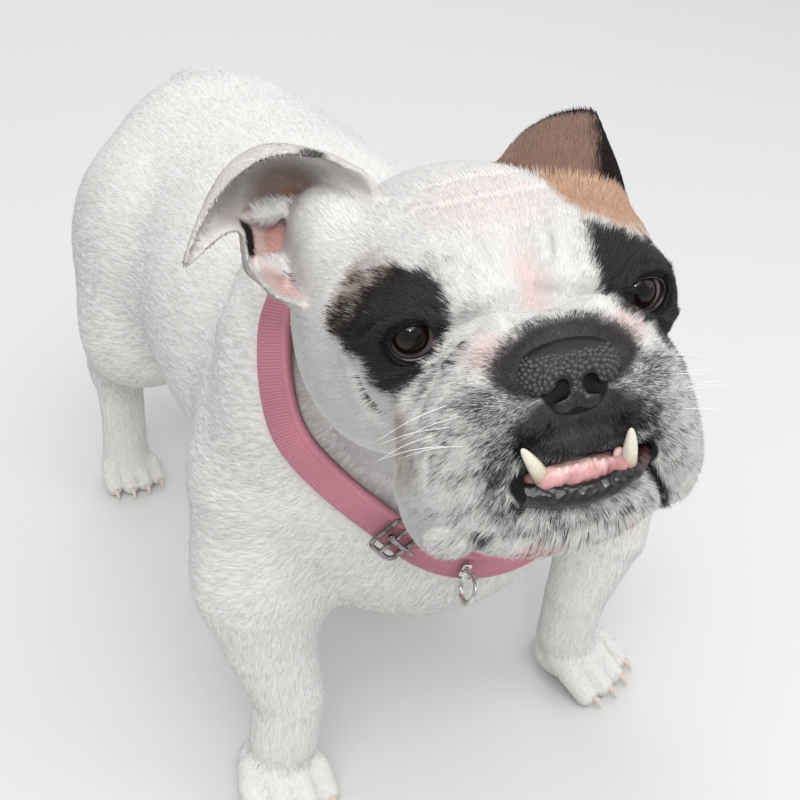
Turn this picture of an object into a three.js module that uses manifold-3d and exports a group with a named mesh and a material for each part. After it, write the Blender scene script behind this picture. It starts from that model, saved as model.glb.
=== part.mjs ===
// A young English bulldog, life size, standing on four feet with its head turned to its right and raised.
// Millimetres, +Z up. The dog faces -Y and its own left side is +X. The group's origin is the bottom centre of
// its box. The flesh is one smooth distance field, meshed piece by piece and parted by thin plane cuts.
import * as THREE from 'three';
import Module from 'manifold-3d';

const wasm = await Module();
wasm.setup();
const { Manifold, Mesh } = wasm;

// Driving dimensions
const GAP = 0.3;
const SIDES = { right: -1, left: 1 };

// Head: its reference point lies between the eyes, inside the skull. Its turn is in degrees.
const HEAD_AT = [-44, -185, 361];
const HEAD_YAW = -13.7;
const HEAD_PITCH = -14.2;
const HEAD_ROLL = -6.7;
const HEAD_BACK = 37;
const HEAD_BACK_SLOPE = 0.365;
const EYE = [46.5, -50, 8];
const EYE_R = 12.5;
const EYE_YAW = 12;
const LID_THICK = 2.8;
const LID_OPENING = [10.5, 9, 7.6];
const LID_LEAN = 8;

// Collar: a webbing strap round the base of the neck, on a plane that leans forward
const COLLAR_Z = 477;
const COLLAR_SLOPE = 1.68;
const COLLAR_AXIS = [-10, -95];
const COLLAR_WIDTH = 17;
const COLLAR_THICK = 3;
const COLLAR_CLEAR = 3.6;
const BUCKLE = { near: [-60, -160, 216], long: 17, wide: 25, wire: 2.6, pin: 2 };
const RING = { near: [-26, -170, 197], radius: 7.4, wire: 1.5, plate: [5, 8, 2.4] };

// Legs: for each, elbow or stifle down to the foot, as points and radii. x is taken outward on each side.
const FORE_RIGHT = {
  points: [[101, -86, 152], [97, -93, 110], [88, -101, 70], [90, -101, 38]],
  radii: [32, 28, 22, 21.5],
};
const FORE_LEFT = {
  points: [[140, -76, 162], [135, -90, 108], [116, -96, 66], [113, -96, 36]],
  radii: [38, 29, 21, 20],
};
const HIND = { points: [[79, 156, 165], [74, 204, 128], [66, 238, 95]], radii: [33, 26, 20] };
const HOCK = { points: [[66, 238, 95], [66, 230, 50], [67, 226, 25]], radii: [19, 17.5, 18] };
const FORE_TOP = 40;
const HIND_TOP = 36;
const PAWS = {
  forepaw_right: { at: [-95, -105], yaw: 0, scale: 1, side: -1, top: FORE_TOP },
  forepaw_left: { at: [121, -99], yaw: 26, scale: 1, side: 1, top: FORE_TOP },
  hindpaw_right: { at: [-67, 222], yaw: 0, scale: 0.8, side: -1, top: HIND_TOP },
  hindpaw_left: { at: [67, 222], yaw: 0, scale: 0.8, side: 1, top: HIND_TOP },
};
const TOES = [-1.5, -0.5, 0.5, 1.5];
const TOE_STEP = 13.5;
const CLAW = { reach: 39.5, back: 8, low: 2.8, rise: 5.6, tip: 0.9, root: 3 };

// Ears: columns from the front of the root round the back to the root's lower end, each root, middle and edge
const EAR_THICK = 4.6;
const EAR_RIGHT = [
  [[-38, 10, 50], [-43, 8, 58], [-48, 5, 62]],
  [[-48, 22, 50], [-55, 16, 65], [-61, 4, 70]],
  [[-56, 32, 46], [-74, 26, 70], [-82, 2, 74]],
  [[-60, 36, 40], [-87, 26, 66], [-104, 0, 63]],
  [[-62, 38, 36], [-93, 26, 56], [-122, -10, 41]],
  [[-64, 38, 30], [-91, 28, 48], [-105, 3, 46]],
  [[-68, 36, 24], [-89, 26, 40], [-96, 8, 44]],
  [[-70, 30, 15], [-90, 18, 28], [-96, 3, 32]],
  [[-71, 20, 6], [-84, 8, 15], [-89, -2, 19]],
  [[-69, 8, 2], [-75, 1, 9], [-79, -6, 13]],
];
const EAR_LEFT = [
  [[22, 22, 46], [25, 24, 51], [27, 26, 54]],
  [[31, 10, 48], [34, 15, 57], [37, 24, 62]],
  [[42, 4, 46], [46, 8, 58], [49, 18, 67]],
  [[53, 0, 42], [57, 3, 55], [60, 10, 67]],
  [[62, 2, 34], [66, 7, 45], [67, 17, 55]],
  [[67, 8, 24], [71, 14, 34], [73, 25, 40]],
  [[69, 18, 12], [74, 24, 21], [77, 33, 27]],
];

// Grid steps of the meshed pieces, and the value that closes a grid at its rim
const RIM = 4;
const STEP = {
  torso: 20, neck: 17, face: 8.8, skull: 14, jaw: 8.2, nose: 5.2, leg: 13.4, paw: 8, tail: 9, mouth: 5.5, gum: 4.8,
};

// Vectors and turns
const add = (a, b) => [a[0] + b[0], a[1] + b[1], a[2] + b[2]];
const sub = (a, b) => [a[0] - b[0], a[1] - b[1], a[2] - b[2]];
const scaled = (a, s) => [a[0] * s, a[1] * s, a[2] * s];
const dot = (a, b) => a[0] * b[0] + a[1] * b[1] + a[2] * b[2];
const cross = (a, b) => [a[1] * b[2] - a[2] * b[1], a[2] * b[0] - a[0] * b[2], a[0] * b[1] - a[1] * b[0]];
const long = (a) => Math.hypot(a[0], a[1], a[2]);
const unit = (a) => scaled(a, 1 / long(a));
const mirrored = (p) => [Math.abs(p[0]), p[1], p[2]];
const flipped = (p, side) => [p[0] * side, p[1], p[2]];

// A turn about X, then Y, then Z, in degrees
function turn(x, y, z) {
  const e = new THREE.Euler(x * Math.PI / 180, y * Math.PI / 180, z * Math.PI / 180, 'ZYX');
  return new THREE.Matrix4().makeRotationFromEuler(e);
}

// A place is a turn and a point; to() goes out of it, from() goes into it
function place(at, matrix) {
  const m = matrix.elements;
  const x = [m[0], m[1], m[2]];
  const y = [m[4], m[5], m[6]];
  const z = [m[8], m[9], m[10]];
  return {
    to: (p) => add(at, add(add(scaled(x, p[0]), scaled(y, p[1])), scaled(z, p[2]))),
    from: (p) => {
      const d = sub(p, at);
      return [dot(d, x), dot(d, y), dot(d, z)];
    },
  };
}

const WORLD = place([0, 0, 0], new THREE.Matrix4());
const headTurn = turn(0, 0, HEAD_YAW).multiply(turn(HEAD_PITCH, 0, 0)).multiply(turn(0, HEAD_ROLL, 0));
const HEAD = place(HEAD_AT, headTurn);

// Distance to an ellipsoid, which may be turned
function ball(p, centre, radii, lean) {
  const q = lean ? place(centre, lean).from(p) : sub(p, centre);
  const near = long([q[0] / radii[0], q[1] / radii[1], q[2] / radii[2]]);
  const slope = long([q[0] / radii[0] ** 2, q[1] / radii[1] ** 2, q[2] / radii[2] ** 2]);
  return near * (near - 1) / Math.max(slope, 1e-9);
}

// Distance to a tapered rod with round ends
function rod(p, a, b, ra, rb) {
  const along = sub(b, a);
  const t = Math.min(1, Math.max(0, dot(sub(p, a), along) / dot(along, along)));
  return long(sub(sub(p, a), scaled(along, t))) - (ra + (rb - ra) * t);
}

function chain(p, points, radii) {
  let d = Infinity;
  for (let i = 0; i + 1 < points.length; i += 1) {
    d = Math.min(d, rod(p, points[i], points[i + 1], radii[i], radii[i + 1]));
  }
  return d;
}

// Smooth union over a width k, and the smooth cut of b out of a
function join(a, b, k) {
  const h = Math.max(k - Math.abs(a - b), 0) / k;
  return Math.min(a, b) - h * h * k / 4;
}
const carve = (a, b, k) => -join(-a, b, k);

// Anatomy of the head, in the head's own frame
function skull(h) {
  const m = mirrored(h);
  let d = ball(m, [0, 14, 8], [65, 78, 44]);
  d = join(d, ball(m, [50, 8, -10], [31, 50, 46]), 22);
  d = join(d, ball(m, [0, 20, -30], [58, 60, 46]), 30);
  d = join(d, ball(m, [31, -40, 21], [24, 20, 17]), 18);
  d = join(d, ball(m, [50, -38, -1], [19, 24, 22]), 14);
  d = join(d, ball(m, [0, -48, -12], [46, 36, 34]), 20);
  d = join(d, ball(h, [-58, 20, 32], [18, 22, 22]), 14);
  d = join(d, ball(h, [52, 16, 32], [17, 20, 18]), 14);
  return join(d, ball(m, EYE, [16, 16, 15]), 8);
}

function muzzle(h) {
  const m = mirrored(h);
  let d = chain(m, [[0, -84, 9], [18, -82, 6], [32, -76, -3], [44, -66, -20]], [9, 9.5, 11, 13]);
  d = join(d, ball(m, [22, -80, -20], [26, 24, 24]), 10);
  d = join(d, ball(m, [41, -68, -43], [21, 28, 38], turn(0, -12, 0)), 14);
  return join(d, ball(m, [0, -86, -12], [24, 18, 20]), 8);
}

const LOWER_LIP = [[0, -103, -51], [12, -102, -50], [22, -98.5, -47.5], [30, -91, -45.5]];
const MOUTH = [[0, -104, -43], [14, -102, -43], [24, -96, -43], [32, -87, -44]];

function jaw(h) {
  const m = mirrored(h);
  let d = ball(m, [0, -68, -64], [48, 34, 22.5]);
  d = join(d, ball(m, [0, -30, -56], [46, 50, 26]), 20);
  return join(d, chain(m, LOWER_LIP, [4, 4, 4, 4]), 5);
}

function noseLeather(h) {
  const m = mirrored(h);
  let d = ball(m, [0, -92, -2], [18.5, 11, 10]);
  d = join(d, ball(m, [10.5, -95, -4.5], [8.5, 7.5, 8]), 5);
  return join(d, ball(m, [0, -95, -11], [9, 8, 8]), 5);
}

function headFlesh(h) {
  const m = mirrored(h);
  let d = join(skull(h), muzzle(h), 5);
  d = carve(d, rod(m, [0, -110, -20], [0, -107, -38], 1.6, 2.6), 3);
  d = carve(d, chain(m, [[0, -72, 18], [0, -58, 34], [0, -42, 54]], [5, 4, 3]), 12);
  return join(d, jaw(h), 2);
}

// Anatomy of the body
function paw(p, foot) {
  const s = foot.scale;
  const q = place([foot.at[0], foot.at[1], 0], turn(0, 0, foot.yaw)).from(p);
  const m = scaled([q[0], q[1], q[2]], 1 / s);
  let d = ball(m, [0, 4, 15.5], [24, 26, 17]);
  for (const k of TOES) {
    const x = k * TOE_STEP;
    const back = Math.abs(k) * 4;
    const toe = [[x * 0.8, 4, 20], [x, -14 + back, 17], [x * 1.04, -27 + back, 7.5]];
    d = join(d, chain(m, toe, [9, 9.6, 9]), 2.5);
  }
  return d * s;
}

function body(p) {
  const m = mirrored(p);
  let d = ball(m, [0, -78, 206], [102, 90, 102]);
  d = join(d, ball(m, [0, 30, 222], [106, 135, 98]), 50);
  d = join(d, ball(m, [0, 125, 236], [80, 95, 80]), 50);
  d = join(d, ball(m, [0, 182, 238], [86, 70, 74]), 40);
  d = join(d, ball(m, [0, 212, 270], [60, 42, 42]), 30);
  d = join(d, chain(m, [[0, 240, 292], [0, 256, 291], [0, 268, 277]], [17, 14, 10]), 14);
  d = join(d, ball(m, [82, -72, 222], [38, 54, 78], turn(12, 0, 0)), 30);
  d = join(d, rod(m, [94, -74, 200], [102, -84, 150], 38, 30), 25);
  d = join(d, ball(m, [70, 172, 208], [40, 66, 72], turn(-20, 0, 0)), 30);
  const fore = p[0] < 0 ? FORE_RIGHT : FORE_LEFT;
  d = join(d, chain(m, fore.points, fore.radii), 14);
  d = join(d, chain(m, HIND.points, HIND.radii), 22);
  d = join(d, chain(m, HOCK.points, HOCK.radii), 8);
  for (const foot of Object.values(PAWS)) {
    if (foot.side * p[0] > 0) {
      d = join(d, paw(p, foot), 8);
    }
  }
  return d;
}

// Neck: a tapered rod from the chest to the back of the skull, with a roll of loose skin behind the collar
const NECK_BASE = [0, -60, 250];
const NECK_TOP = HEAD.to([0, 34, -14]);
const NECK_RADII = [78, 60];
const ROLL = { points: [[70, -52, 314], [84, -66, 290], [92, -88, 258]], radii: [24, 26, 20] };

function trunk(p) {
  const d = join(body(p), rod(p, NECK_BASE, NECK_TOP, ...NECK_RADII), 34);
  return join(d, chain(mirrored(p), ROLL.points, ROLL.radii), 16);
}

function flesh(p) {
  const d = trunk(p);
  const h = HEAD.from(p);
  if (long(h) > 180) {
    return d;
  }
  return join(d, headFlesh(h), 16);
}

// Grid lines from low to high, no further apart than a step
function lines(low, high, step) {
  const count = Math.ceil((high - low) / step);
  return Array.from({ length: count + 1 }, (unused, i) => low + (high - low) * i / count);
}

// Closed surface of a field over a box in a place's own frame, as a solid in the dog's frame
function mesh(field, low, high, step, at = WORLD) {
  return meshOn(field, [0, 1, 2].map((i) => lines(low[i], high[i], step)), at);
}

function meshOn(field, grid, at) {
  const n = grid.map((line) => line.length);
  const value = new Float64Array(n[0] * n[1] * n[2]);
  const index = (i, j, k) => (i * n[1] + j) * n[2] + k;
  const node = (i, j, k) => [grid[0][i], grid[1][j], grid[2][k]];
  for (let i = 0; i < n[0]; i += 1) {
    for (let j = 0; j < n[1]; j += 1) {
      for (let k = 0; k < n[2]; k += 1) {
        const rim = [i, j, k].some((c, axis) => c === 0 || c === n[axis] - 1);
        value[index(i, j, k)] = rim ? Math.max(RIM, field(node(i, j, k))) : field(node(i, j, k));
      }
    }
  }
  return surface(value, n, index, node, at);
}

// Surface nets: each sheet of the surface in a cell gets one vertex, the middle of its crossings with the
// cell's edges, and each crossed edge gets a four-sided face through the vertices of the cells round it.
const CORNERS = [0, 1, 2, 3, 4, 5, 6, 7].map((c) => [c & 1, (c >> 1) & 1, (c >> 2) & 1]);
const EDGES = [0, 1, 2].flatMap((axis) => [0, 1, 2, 3, 4, 5, 6, 7]
  .filter((c) => !(c & (1 << axis)))
  .map((c) => ({ from: c, to: c | (1 << axis), axis })));
const FACES = [[0, 1, 3, 2], [4, 5, 7, 6], [0, 1, 5, 4], [2, 3, 7, 6], [0, 2, 6, 4], [1, 3, 7, 5]];
const edgeOf = (a, b) => EDGES.findIndex((e) => e.from === Math.min(a, b) && e.to === Math.max(a, b));
const FACE_EDGES = FACES.map((face) => face.map((c, i) => edgeOf(c, face[(i + 1) % 4])));

// The crossed edges of a cell, grouped into sheets, round the inner corners of a face crossed four times
function sheets(f) {
  const group = EDGES.map((e, i) => ((f[e.from] < 0) !== (f[e.to] < 0) ? i : -1));
  const unite = (a, b) => {
    const [old, now] = [group[a], group[b]];
    group.forEach((g, i) => {
      group[i] = g === old ? now : g;
    });
  };
  FACES.forEach((face, n) => {
    const crossed = FACE_EDGES[n].filter((e) => group[e] >= 0);
    if (crossed.length === 2) {
      unite(...crossed);
    } else if (crossed.length === 4) {
      face.forEach((corner, i) => {
        if (f[corner] < 0) {
          unite(FACE_EDGES[n][(i + 3) % 4], FACE_EDGES[n][i]);
        }
      });
    }
  });
  return group;
}

function surface(value, n, index, node, at) {
  const verts = [];
  const vertexOf = new Map();
  for (let i = 0; i < n[0] - 1; i += 1) {
    for (let j = 0; j < n[1] - 1; j += 1) {
      for (let k = 0; k < n[2] - 1; k += 1) {
        const f = CORNERS.map((c) => value[index(i + c[0], j + c[1], k + c[2])]);
        const inner = f.filter((d) => d < 0).length;
        if (inner > 0 && inner < 8) {
          const group = sheets(f);
          for (const g of new Set(group.filter((e) => e >= 0))) {
            const own = EDGES.filter((e, e2) => group[e2] === g);
            const points = own.map((e) => {
              const [p, q] = [CORNERS[e.from], CORNERS[e.to]].map((c) => node(i + c[0], j + c[1], k + c[2]));
              return add(p, scaled(sub(q, p), f[e.from] / (f[e.from] - f[e.to])));
            });
            own.forEach((e) => vertexOf.set(index(i, j, k) * 24 + e.from * 3 + e.axis, verts.length));
            verts.push(at.to(scaled(points.reduce(add), 1 / points.length)));
          }
        }
      }
    }
  }
  const tris = [];
  const square = (a, b, c, d) => {
    if (long(sub(verts[a], verts[c])) < long(sub(verts[b], verts[d]))) {
      tris.push(a, b, c, a, c, d);
    } else {
      tris.push(a, b, d, b, c, d);
    }
  };
  // The four cells round a grid edge along each axis, in turn, as steps back from its lower end
  const ROUND = [
    [[0, 1, 1], [0, 0, 1], [0, 0, 0], [0, 1, 0]],
    [[1, 0, 1], [1, 0, 0], [0, 0, 0], [0, 0, 1]],
    [[1, 1, 0], [0, 1, 0], [0, 0, 0], [1, 0, 0]],
  ];
  for (let i = 0; i < n[0] - 1; i += 1) {
    for (let j = 0; j < n[1] - 1; j += 1) {
      for (let k = 0; k < n[2] - 1; k += 1) {
        const inside = value[index(i, j, k)] < 0;
        [[1, 0, 0], [0, 1, 0], [0, 0, 1]].forEach((along, axis) => {
          const whole = [i, j, k].every((c, a) => a === axis || c > 0);
          if (whole && value[index(i + along[0], j + along[1], k + along[2])] < 0 !== inside) {
            const q = ROUND[axis].map((back) => {
              const corner = back[0] + 2 * back[1] + 4 * back[2];
              return vertexOf.get(index(i - back[0], j - back[1], k - back[2]) * 24 + corner * 3 + axis);
            });
            square(...(inside ? q : q.reverse()));
          }
        });
      }
    }
  }
  return solid(verts, tris);
}

function solid(verts, tris) {
  return new Manifold(new Mesh({
    numProp: 3,
    vertProperties: Float32Array.from(verts.flat()),
    triVerts: Uint32Array.from(tris),
  }));
}

// A three.js geometry, moved by a matrix, as a solid in a place's frame
function solidOf(geometry, matrix = new THREE.Matrix4(), at = WORLD) {
  const g = geometry.clone();
  g.applyMatrix4(matrix);
  const keys = new Map();
  const verts = [];
  const position = g.attributes.position;
  const ids = [];
  for (let i = 0; i < position.count; i += 1) {
    const v = [position.getX(i), position.getY(i), position.getZ(i)];
    const key = v.map((c) => Math.round(c * 1000)).join(' ');
    if (!keys.has(key)) {
      keys.set(key, verts.length);
      verts.push(at.to(v));
    }
    ids.push(keys.get(key));
  }
  const order = g.index ? Array.from(g.index.array) : ids.map((unused, i) => i);
  const tris = [];
  for (let i = 0; i < order.length; i += 3) {
    const [a, b, c] = [ids[order[i]], ids[order[i + 1]], ids[order[i + 2]]];
    if (a !== b && b !== c && c !== a) {
      tris.push(a, b, c);
    }
  }
  return solid(verts, tris);
}

// Everything beyond a plane, on the side that a direction points to, as a large block
const BLOCK = 1400;
function beyond(point, towards, gap = 0) {
  const n = unit(towards);
  const middle = add(point, scaled(n, gap + BLOCK / 2));
  const q = new THREE.Quaternion().setFromUnitVectors(new THREE.Vector3(0, 0, 1), new THREE.Vector3(...n));
  const m = new THREE.Matrix4().compose(new THREE.Vector3(...middle), q, new THREE.Vector3(1, 1, 1));
  return solidOf(new THREE.BoxGeometry(BLOCK, BLOCK, BLOCK), m);
}

// What a solid keeps on that side of a cut that is one gap wide in all
const cut = (shape, point, towards) => shape.intersect(beyond(point, towards, GAP / 2));

function box(low, high) {
  const size = sub(high, low);
  const centre = scaled(add(low, high), 0.5);
  return solidOf(new THREE.BoxGeometry(...size), new THREE.Matrix4().makeTranslation(...centre));
}

function ellipsoid(centre, radii, lean = new THREE.Matrix4(), at = WORLD, across = 14, down = 9) {
  const m = new THREE.Matrix4().makeTranslation(...centre).multiply(lean);
  m.multiply(new THREE.Matrix4().makeScale(...radii));
  return solidOf(new THREE.SphereGeometry(1, across, down), m, at);
}

function largest(shape) {
  const pieces = shape.decompose();
  return pieces.reduce((a, b) => (a.volume() > b.volume() ? a : b));
}

// Ears: a curved sheet through the columns, given its thickness along its normals
function through(a, b, c, d, t) {
  const f = [0, 1, 2].map((i) => 0.5 * (2 * b[i] + (c[i] - a[i]) * t
    + (2 * a[i] - 5 * b[i] + 4 * c[i] - d[i]) * t * t + (3 * b[i] - a[i] - 3 * c[i] + d[i]) * t ** 3));
  return f;
}

function sheetPoint(columns, u, v) {
  const s = u * (columns.length - 1);
  const i = Math.min(columns.length - 2, Math.floor(s));
  const row = (k) => {
    const c = (n) => columns[n][k];
    const before = i > 0 ? c(i - 1) : sub(scaled(c(i), 2), c(i + 1));
    const after = i + 2 < columns.length ? c(i + 2) : sub(scaled(c(i + 1), 2), c(i));
    return through(before, c(i), c(i + 1), after, s - i);
  };
  const [root, middle, edge] = [row(0), row(1), row(2)];
  const inner = add(scaled(root, (1 - v) * (1 - 2 * v)), scaled(middle, 4 * v * (1 - v)));
  return add(inner, scaled(edge, v * (2 * v - 1)));
}

function sheet(columns, across, out, thick, at) {
  const verts = [];
  const small = 0.01;
  for (const face of [0.5, -0.5]) {
    for (let i = 0; i <= across; i += 1) {
      for (let j = 0; j <= out; j += 1) {
        const u = Math.min(1 - small, Math.max(small, i / across));
        const v = Math.min(1 - small, Math.max(small, j / out));
        const du = sub(sheetPoint(columns, u + small, v), sheetPoint(columns, u - small, v));
        const dv = sub(sheetPoint(columns, u, v + small), sheetPoint(columns, u, v - small));
        const n = unit(cross(du, dv));
        const p = sheetPoint(columns, i / across, j / out);
        const taper = 1 - 0.45 * (j / out) ** 3;
        verts.push(at.to(add(p, scaled(n, face * thick * taper))));
      }
    }
  }
  const id = (face, i, j) => face * (across + 1) * (out + 1) + i * (out + 1) + j;
  const tris = [];
  const quad = (a, b, c, d) => tris.push(a, b, c, a, c, d);
  for (let i = 0; i < across; i += 1) {
    for (let j = 0; j < out; j += 1) {
      quad(id(0, i, j), id(0, i + 1, j), id(0, i + 1, j + 1), id(0, i, j + 1));
      tris.push(id(1, i, j), id(1, i + 1, j + 1), id(1, i + 1, j));
      tris.push(id(1, i, j), id(1, i, j + 1), id(1, i + 1, j + 1));
    }
    quad(id(0, i, 0), id(1, i, 0), id(1, i + 1, 0), id(0, i + 1, 0));
    quad(id(0, i, out), id(0, i + 1, out), id(1, i + 1, out), id(1, i, out));
  }
  for (let j = 0; j < out; j += 1) {
    quad(id(0, 0, j), id(0, 0, j + 1), id(1, 0, j + 1), id(1, 0, j));
    quad(id(0, across, j), id(1, across, j), id(1, across, j + 1), id(0, across, j + 1));
  }
  return solid(verts, tris);
}

// Planes that part the body, each with the side of the smaller piece
const COLLAR_CUT = [[0, 0, COLLAR_Z], [0, -COLLAR_SLOPE, 1]];
const HEAD_CUT = [HEAD.to([0, HEAD_BACK, 0]), sub(HEAD.to([0, -1, HEAD_BACK_SLOPE]), HEAD_AT)];
const TAIL_CUT = [[0, 250, 300], [0, 1, 0.25]];
const FORE_CUT = {
  point: [62, 0, 112],
  slope: [0.646, 0, -0.763],
  low: [58, -170, -5],
  high: [190, -20, 240],
};
const HIND_CUT = {
  point: [0, 118, 128],
  slope: [0, 0.26, -0.966],
  low: [22, 118, -5],
  high: [160, 290, 240],
};
const UP = [0, 0, 1];
const DOWN = [0, 0, -1];
const other = ([point, towards]) => [point, scaled(towards, -1)];

// The block that holds a leg below its cut, or the same block grown by the gap
function legBlock(leg, side, grow = 0) {
  const low = [leg.low[0] - grow, leg.low[1] - grow, leg.low[2]];
  const far = leg.high;
  const ends = side > 0 ? [low, far] : [[-far[0], low[1], low[2]], [-low[0], far[1], far[2]]];
  return box(...ends).intersect(beyond(flipped(leg.point, side), flipped(leg.slope, side), -grow));
}

// Pieces of the body
const parts = {};

function buildTorso() {
  let d = cut(mesh(trunk, [-150, -190, 80], [170, 270, 356], STEP.torso), ...other(COLLAR_CUT));
  for (const side of Object.values(SIDES)) {
    d = d.subtract(legBlock(FORE_CUT, side, GAP)).subtract(legBlock(HIND_CUT, side, GAP));
  }
  parts.torso = largest(cut(d, ...other(TAIL_CUT)));
  parts.tail = largest(cut(mesh(trunk, [-34, 232, 256], [34, 290, 316], STEP.tail), ...TAIL_CUT));
}

function buildNeck() {
  const d = mesh(flesh, [-150, -280, 150], [100, -40, 420], STEP.neck);
  parts.neck = largest(cut(cut(d, ...COLLAR_CUT), ...other(HEAD_CUT)));
}

function buildLegs() {
  for (const [name, side] of Object.entries(SIDES)) {
    for (const [kind, leg, top] of [['foreleg', FORE_CUT, FORE_TOP], ['hindleg', HIND_CUT, HIND_TOP]]) {
      const low = side > 0 ? leg.low : [-leg.high[0], leg.low[1], leg.low[2]];
      const high = side > 0 ? leg.high : [-leg.low[0], leg.high[1], leg.high[2]];
      const whole = mesh(trunk, [low[0], low[1], 20], high, STEP.leg);
      parts[`${kind}_${name}`] = largest(cut(whole.intersect(legBlock(leg, side)), [0, 0, top], UP));
    }
  }
}

// A tapered round rod of so many sides from one point to another
function taper(from, to, fromR, toR, sides, at) {
  const step = new THREE.Vector3(...sub(to, from));
  const middle = new THREE.Vector3(...scaled(add(from, to), 0.5));
  const shape = new THREE.CylinderGeometry(toR, fromR, step.length(), sides);
  const q = new THREE.Quaternion().setFromUnitVectors(new THREE.Vector3(0, 1, 0), step.normalize());
  return solidOf(shape, new THREE.Matrix4().compose(middle, q, new THREE.Vector3(1, 1, 1)), at);
}

function claw(foot, k) {
  const tip = [k * TOE_STEP * 1.06, Math.abs(k) * 4 - CLAW.reach, CLAW.low];
  const root = add(tip, [0, CLAW.back, CLAW.rise]);
  const [from, to] = [scaled(root, foot.scale), scaled(tip, foot.scale)];
  const at = place([foot.at[0], foot.at[1], 0], turn(0, 0, foot.yaw));
  return taper(from, to, CLAW.root * foot.scale, CLAW.tip * foot.scale, 6, at);
}

function buildPaws() {
  for (const [name, foot] of Object.entries(PAWS)) {
    const [x, y] = foot.at;
    let d = mesh(trunk, [x - 44, y - 48, -6], [x + 44, y + 44, foot.top + 8], STEP.paw);
    for (const k of TOES) {
      d = d.add(claw(foot, k));
    }
    parts[name] = largest(cut(d, [0, 0, foot.top], DOWN).intersect(beyond([0, 0, 0], UP)));
  }
}

// Pieces of the head
function eyeLean(side) {
  return turn(0, 0, EYE_YAW * side);
}

function buildEyes() {
  for (const [name, side] of Object.entries(SIDES)) {
    parts[`eye_${name}`] = ellipsoid(flipped(EYE, side), [EYE_R, EYE_R, EYE_R], eyeLean(side), HEAD);
  }
}

const GUM = [[0, -98.5, -43], [9, -98, -43], [17, -95, -44]];
const GUM_BED = [[0, -94, -49], [9, -93.5, -49], [17, -90, -50]];
const CANINES = [
  { root: [-15, -99, -42], tip: [-24.3, -106.5, -25.3] },
  { root: [20, -98, -44.5], tip: [18.8, -106.5, -26.8] },
];
const CANINE_RADII = [3.3, 1.1];
const INCISOR_RADII = [2, 1.5];
const INCISOR_X = [-9, -5.6, -2, 2, 5.6, 9];

function gum(h) {
  const m = mirrored(h);
  return join(chain(m, GUM, [4.5, 4.5, 4]), chain(m, GUM_BED, [6, 6, 5]), 3);
}

// Teeth, or the room for them when they are made larger by some extra
function teeth(extra) {
  const tooth = ({ root, tip }, rootR, tipR, sides) => {
    const end = add(tip, scaled(unit(sub(tip, root)), extra * 2));
    return taper(root, end, rootR + extra, tipR + extra, sides, HEAD);
  };
  const canines = CANINES.map((canine) => tooth(canine, ...CANINE_RADII, 9));
  const incisors = INCISOR_X.map((x) => {
    const ends = { root: [x, -99, -46], tip: [x, -100.5, -37.5] };
    return tooth(ends, ...INCISOR_RADII, 7);
  });
  return [...canines, ...incisors].reduce((a, b) => a.add(b));
}

const NOSTRIL = [6.5, -103, -7];
const NOSTRIL_SIZE = [3, 5, 2.6];

function buildHead() {
  const field = (h) => flesh(HEAD.to(h));
  const side = lines(60, 112, STEP.skull).slice(1);
  const grid = [
    [...side.map((x) => -x).reverse(), ...lines(-60, 60, STEP.face), ...side],
    [...lines(-114, -24, STEP.face), ...lines(-24, 66, STEP.skull).slice(1)],
    lines(-94, 66, STEP.face * 1.1),
  ];
  const whole = meshOn(field, grid, HEAD);
  const grown = meshOn((h) => field(h) - GAP, grid, HEAD);
  const jawBack = HEAD.to([0, -22, 0]);
  const forward = sub(HEAD.to([0, -1, 0]), HEAD_AT);
  const jawBox = [[-56, -112, -92], [56, -10, -30]];
  const jawMesh = mesh(jaw, ...jawBox, STEP.jaw, HEAD);
  const jawGrown = mesh((h) => jaw(h) - 3 * GAP, ...jawBox, STEP.jaw, HEAD);
  const jawRoom = jawGrown.intersect(beyond(jawBack, forward, -GAP));
  const gumBox = [[-26, -107, -58], [26, -82, -34]];
  const gumMesh = mesh(gum, ...gumBox, STEP.gum, HEAD);
  const gumRoom = mesh((h) => gum(h) - 2 * GAP, ...gumBox, STEP.gum, HEAD);
  const mouthBox = [[-44, -114, -52], [44, -70, -32]];
  const mouthRoom = mesh((h) => chain(mirrored(h), MOUTH, [6, 6, 5, 3]), ...mouthBox, STEP.mouth, HEAD);
  parts.lower_jaw = largest(jawMesh.intersect(beyond(jawBack, forward)).add(gumMesh).add(teeth(0)));

  const noseBox = [[-24, -110, -20], [24, -78, 20]];
  const leather = mesh(noseLeather, ...noseBox, STEP.nose, HEAD);
  const noseRoom = mesh((h) => noseLeather(h) - GAP, ...noseBox, STEP.nose, HEAD);
  let nose = leather;
  for (const side of Object.values(SIDES)) {
    const lean = turn(0, 25 * side, 25 * side);
    nose = nose.subtract(ellipsoid(flipped(NOSTRIL, side), NOSTRIL_SIZE, lean, HEAD, 10, 8));
  }
  parts.nose = largest(nose);

  let head = cut(whole, ...HEAD_CUT);
  for (const side of Object.values(SIDES)) {
    const lid = EYE_R + LID_THICK;
    head = head.add(ellipsoid(flipped(EYE, side), [lid, lid, lid], eyeLean(side), HEAD));
  }
  head = head.subtract(jawRoom).subtract(mouthRoom).subtract(gumRoom).subtract(noseRoom).subtract(teeth(0.6));
  for (const side of Object.values(SIDES)) {
    const room = EYE_R + GAP;
    head = head.subtract(ellipsoid(flipped(EYE, side), [room, room, room], eyeLean(side), HEAD));
    const opening = add(EYE, [3, -13, 0.5]);
    const lean = turn(0, LID_LEAN * side, EYE_YAW * side);
    head = head.subtract(ellipsoid(flipped(opening, side), LID_OPENING, lean, HEAD));
  }
  parts.head = largest(head);
  parts.ear_right = largest(sheet(EAR_RIGHT, 18, 6, EAR_THICK, HEAD).subtract(grown));
  parts.ear_left = largest(sheet(EAR_LEFT, 12, 5, EAR_THICK, HEAD).subtract(grown));
}

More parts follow.
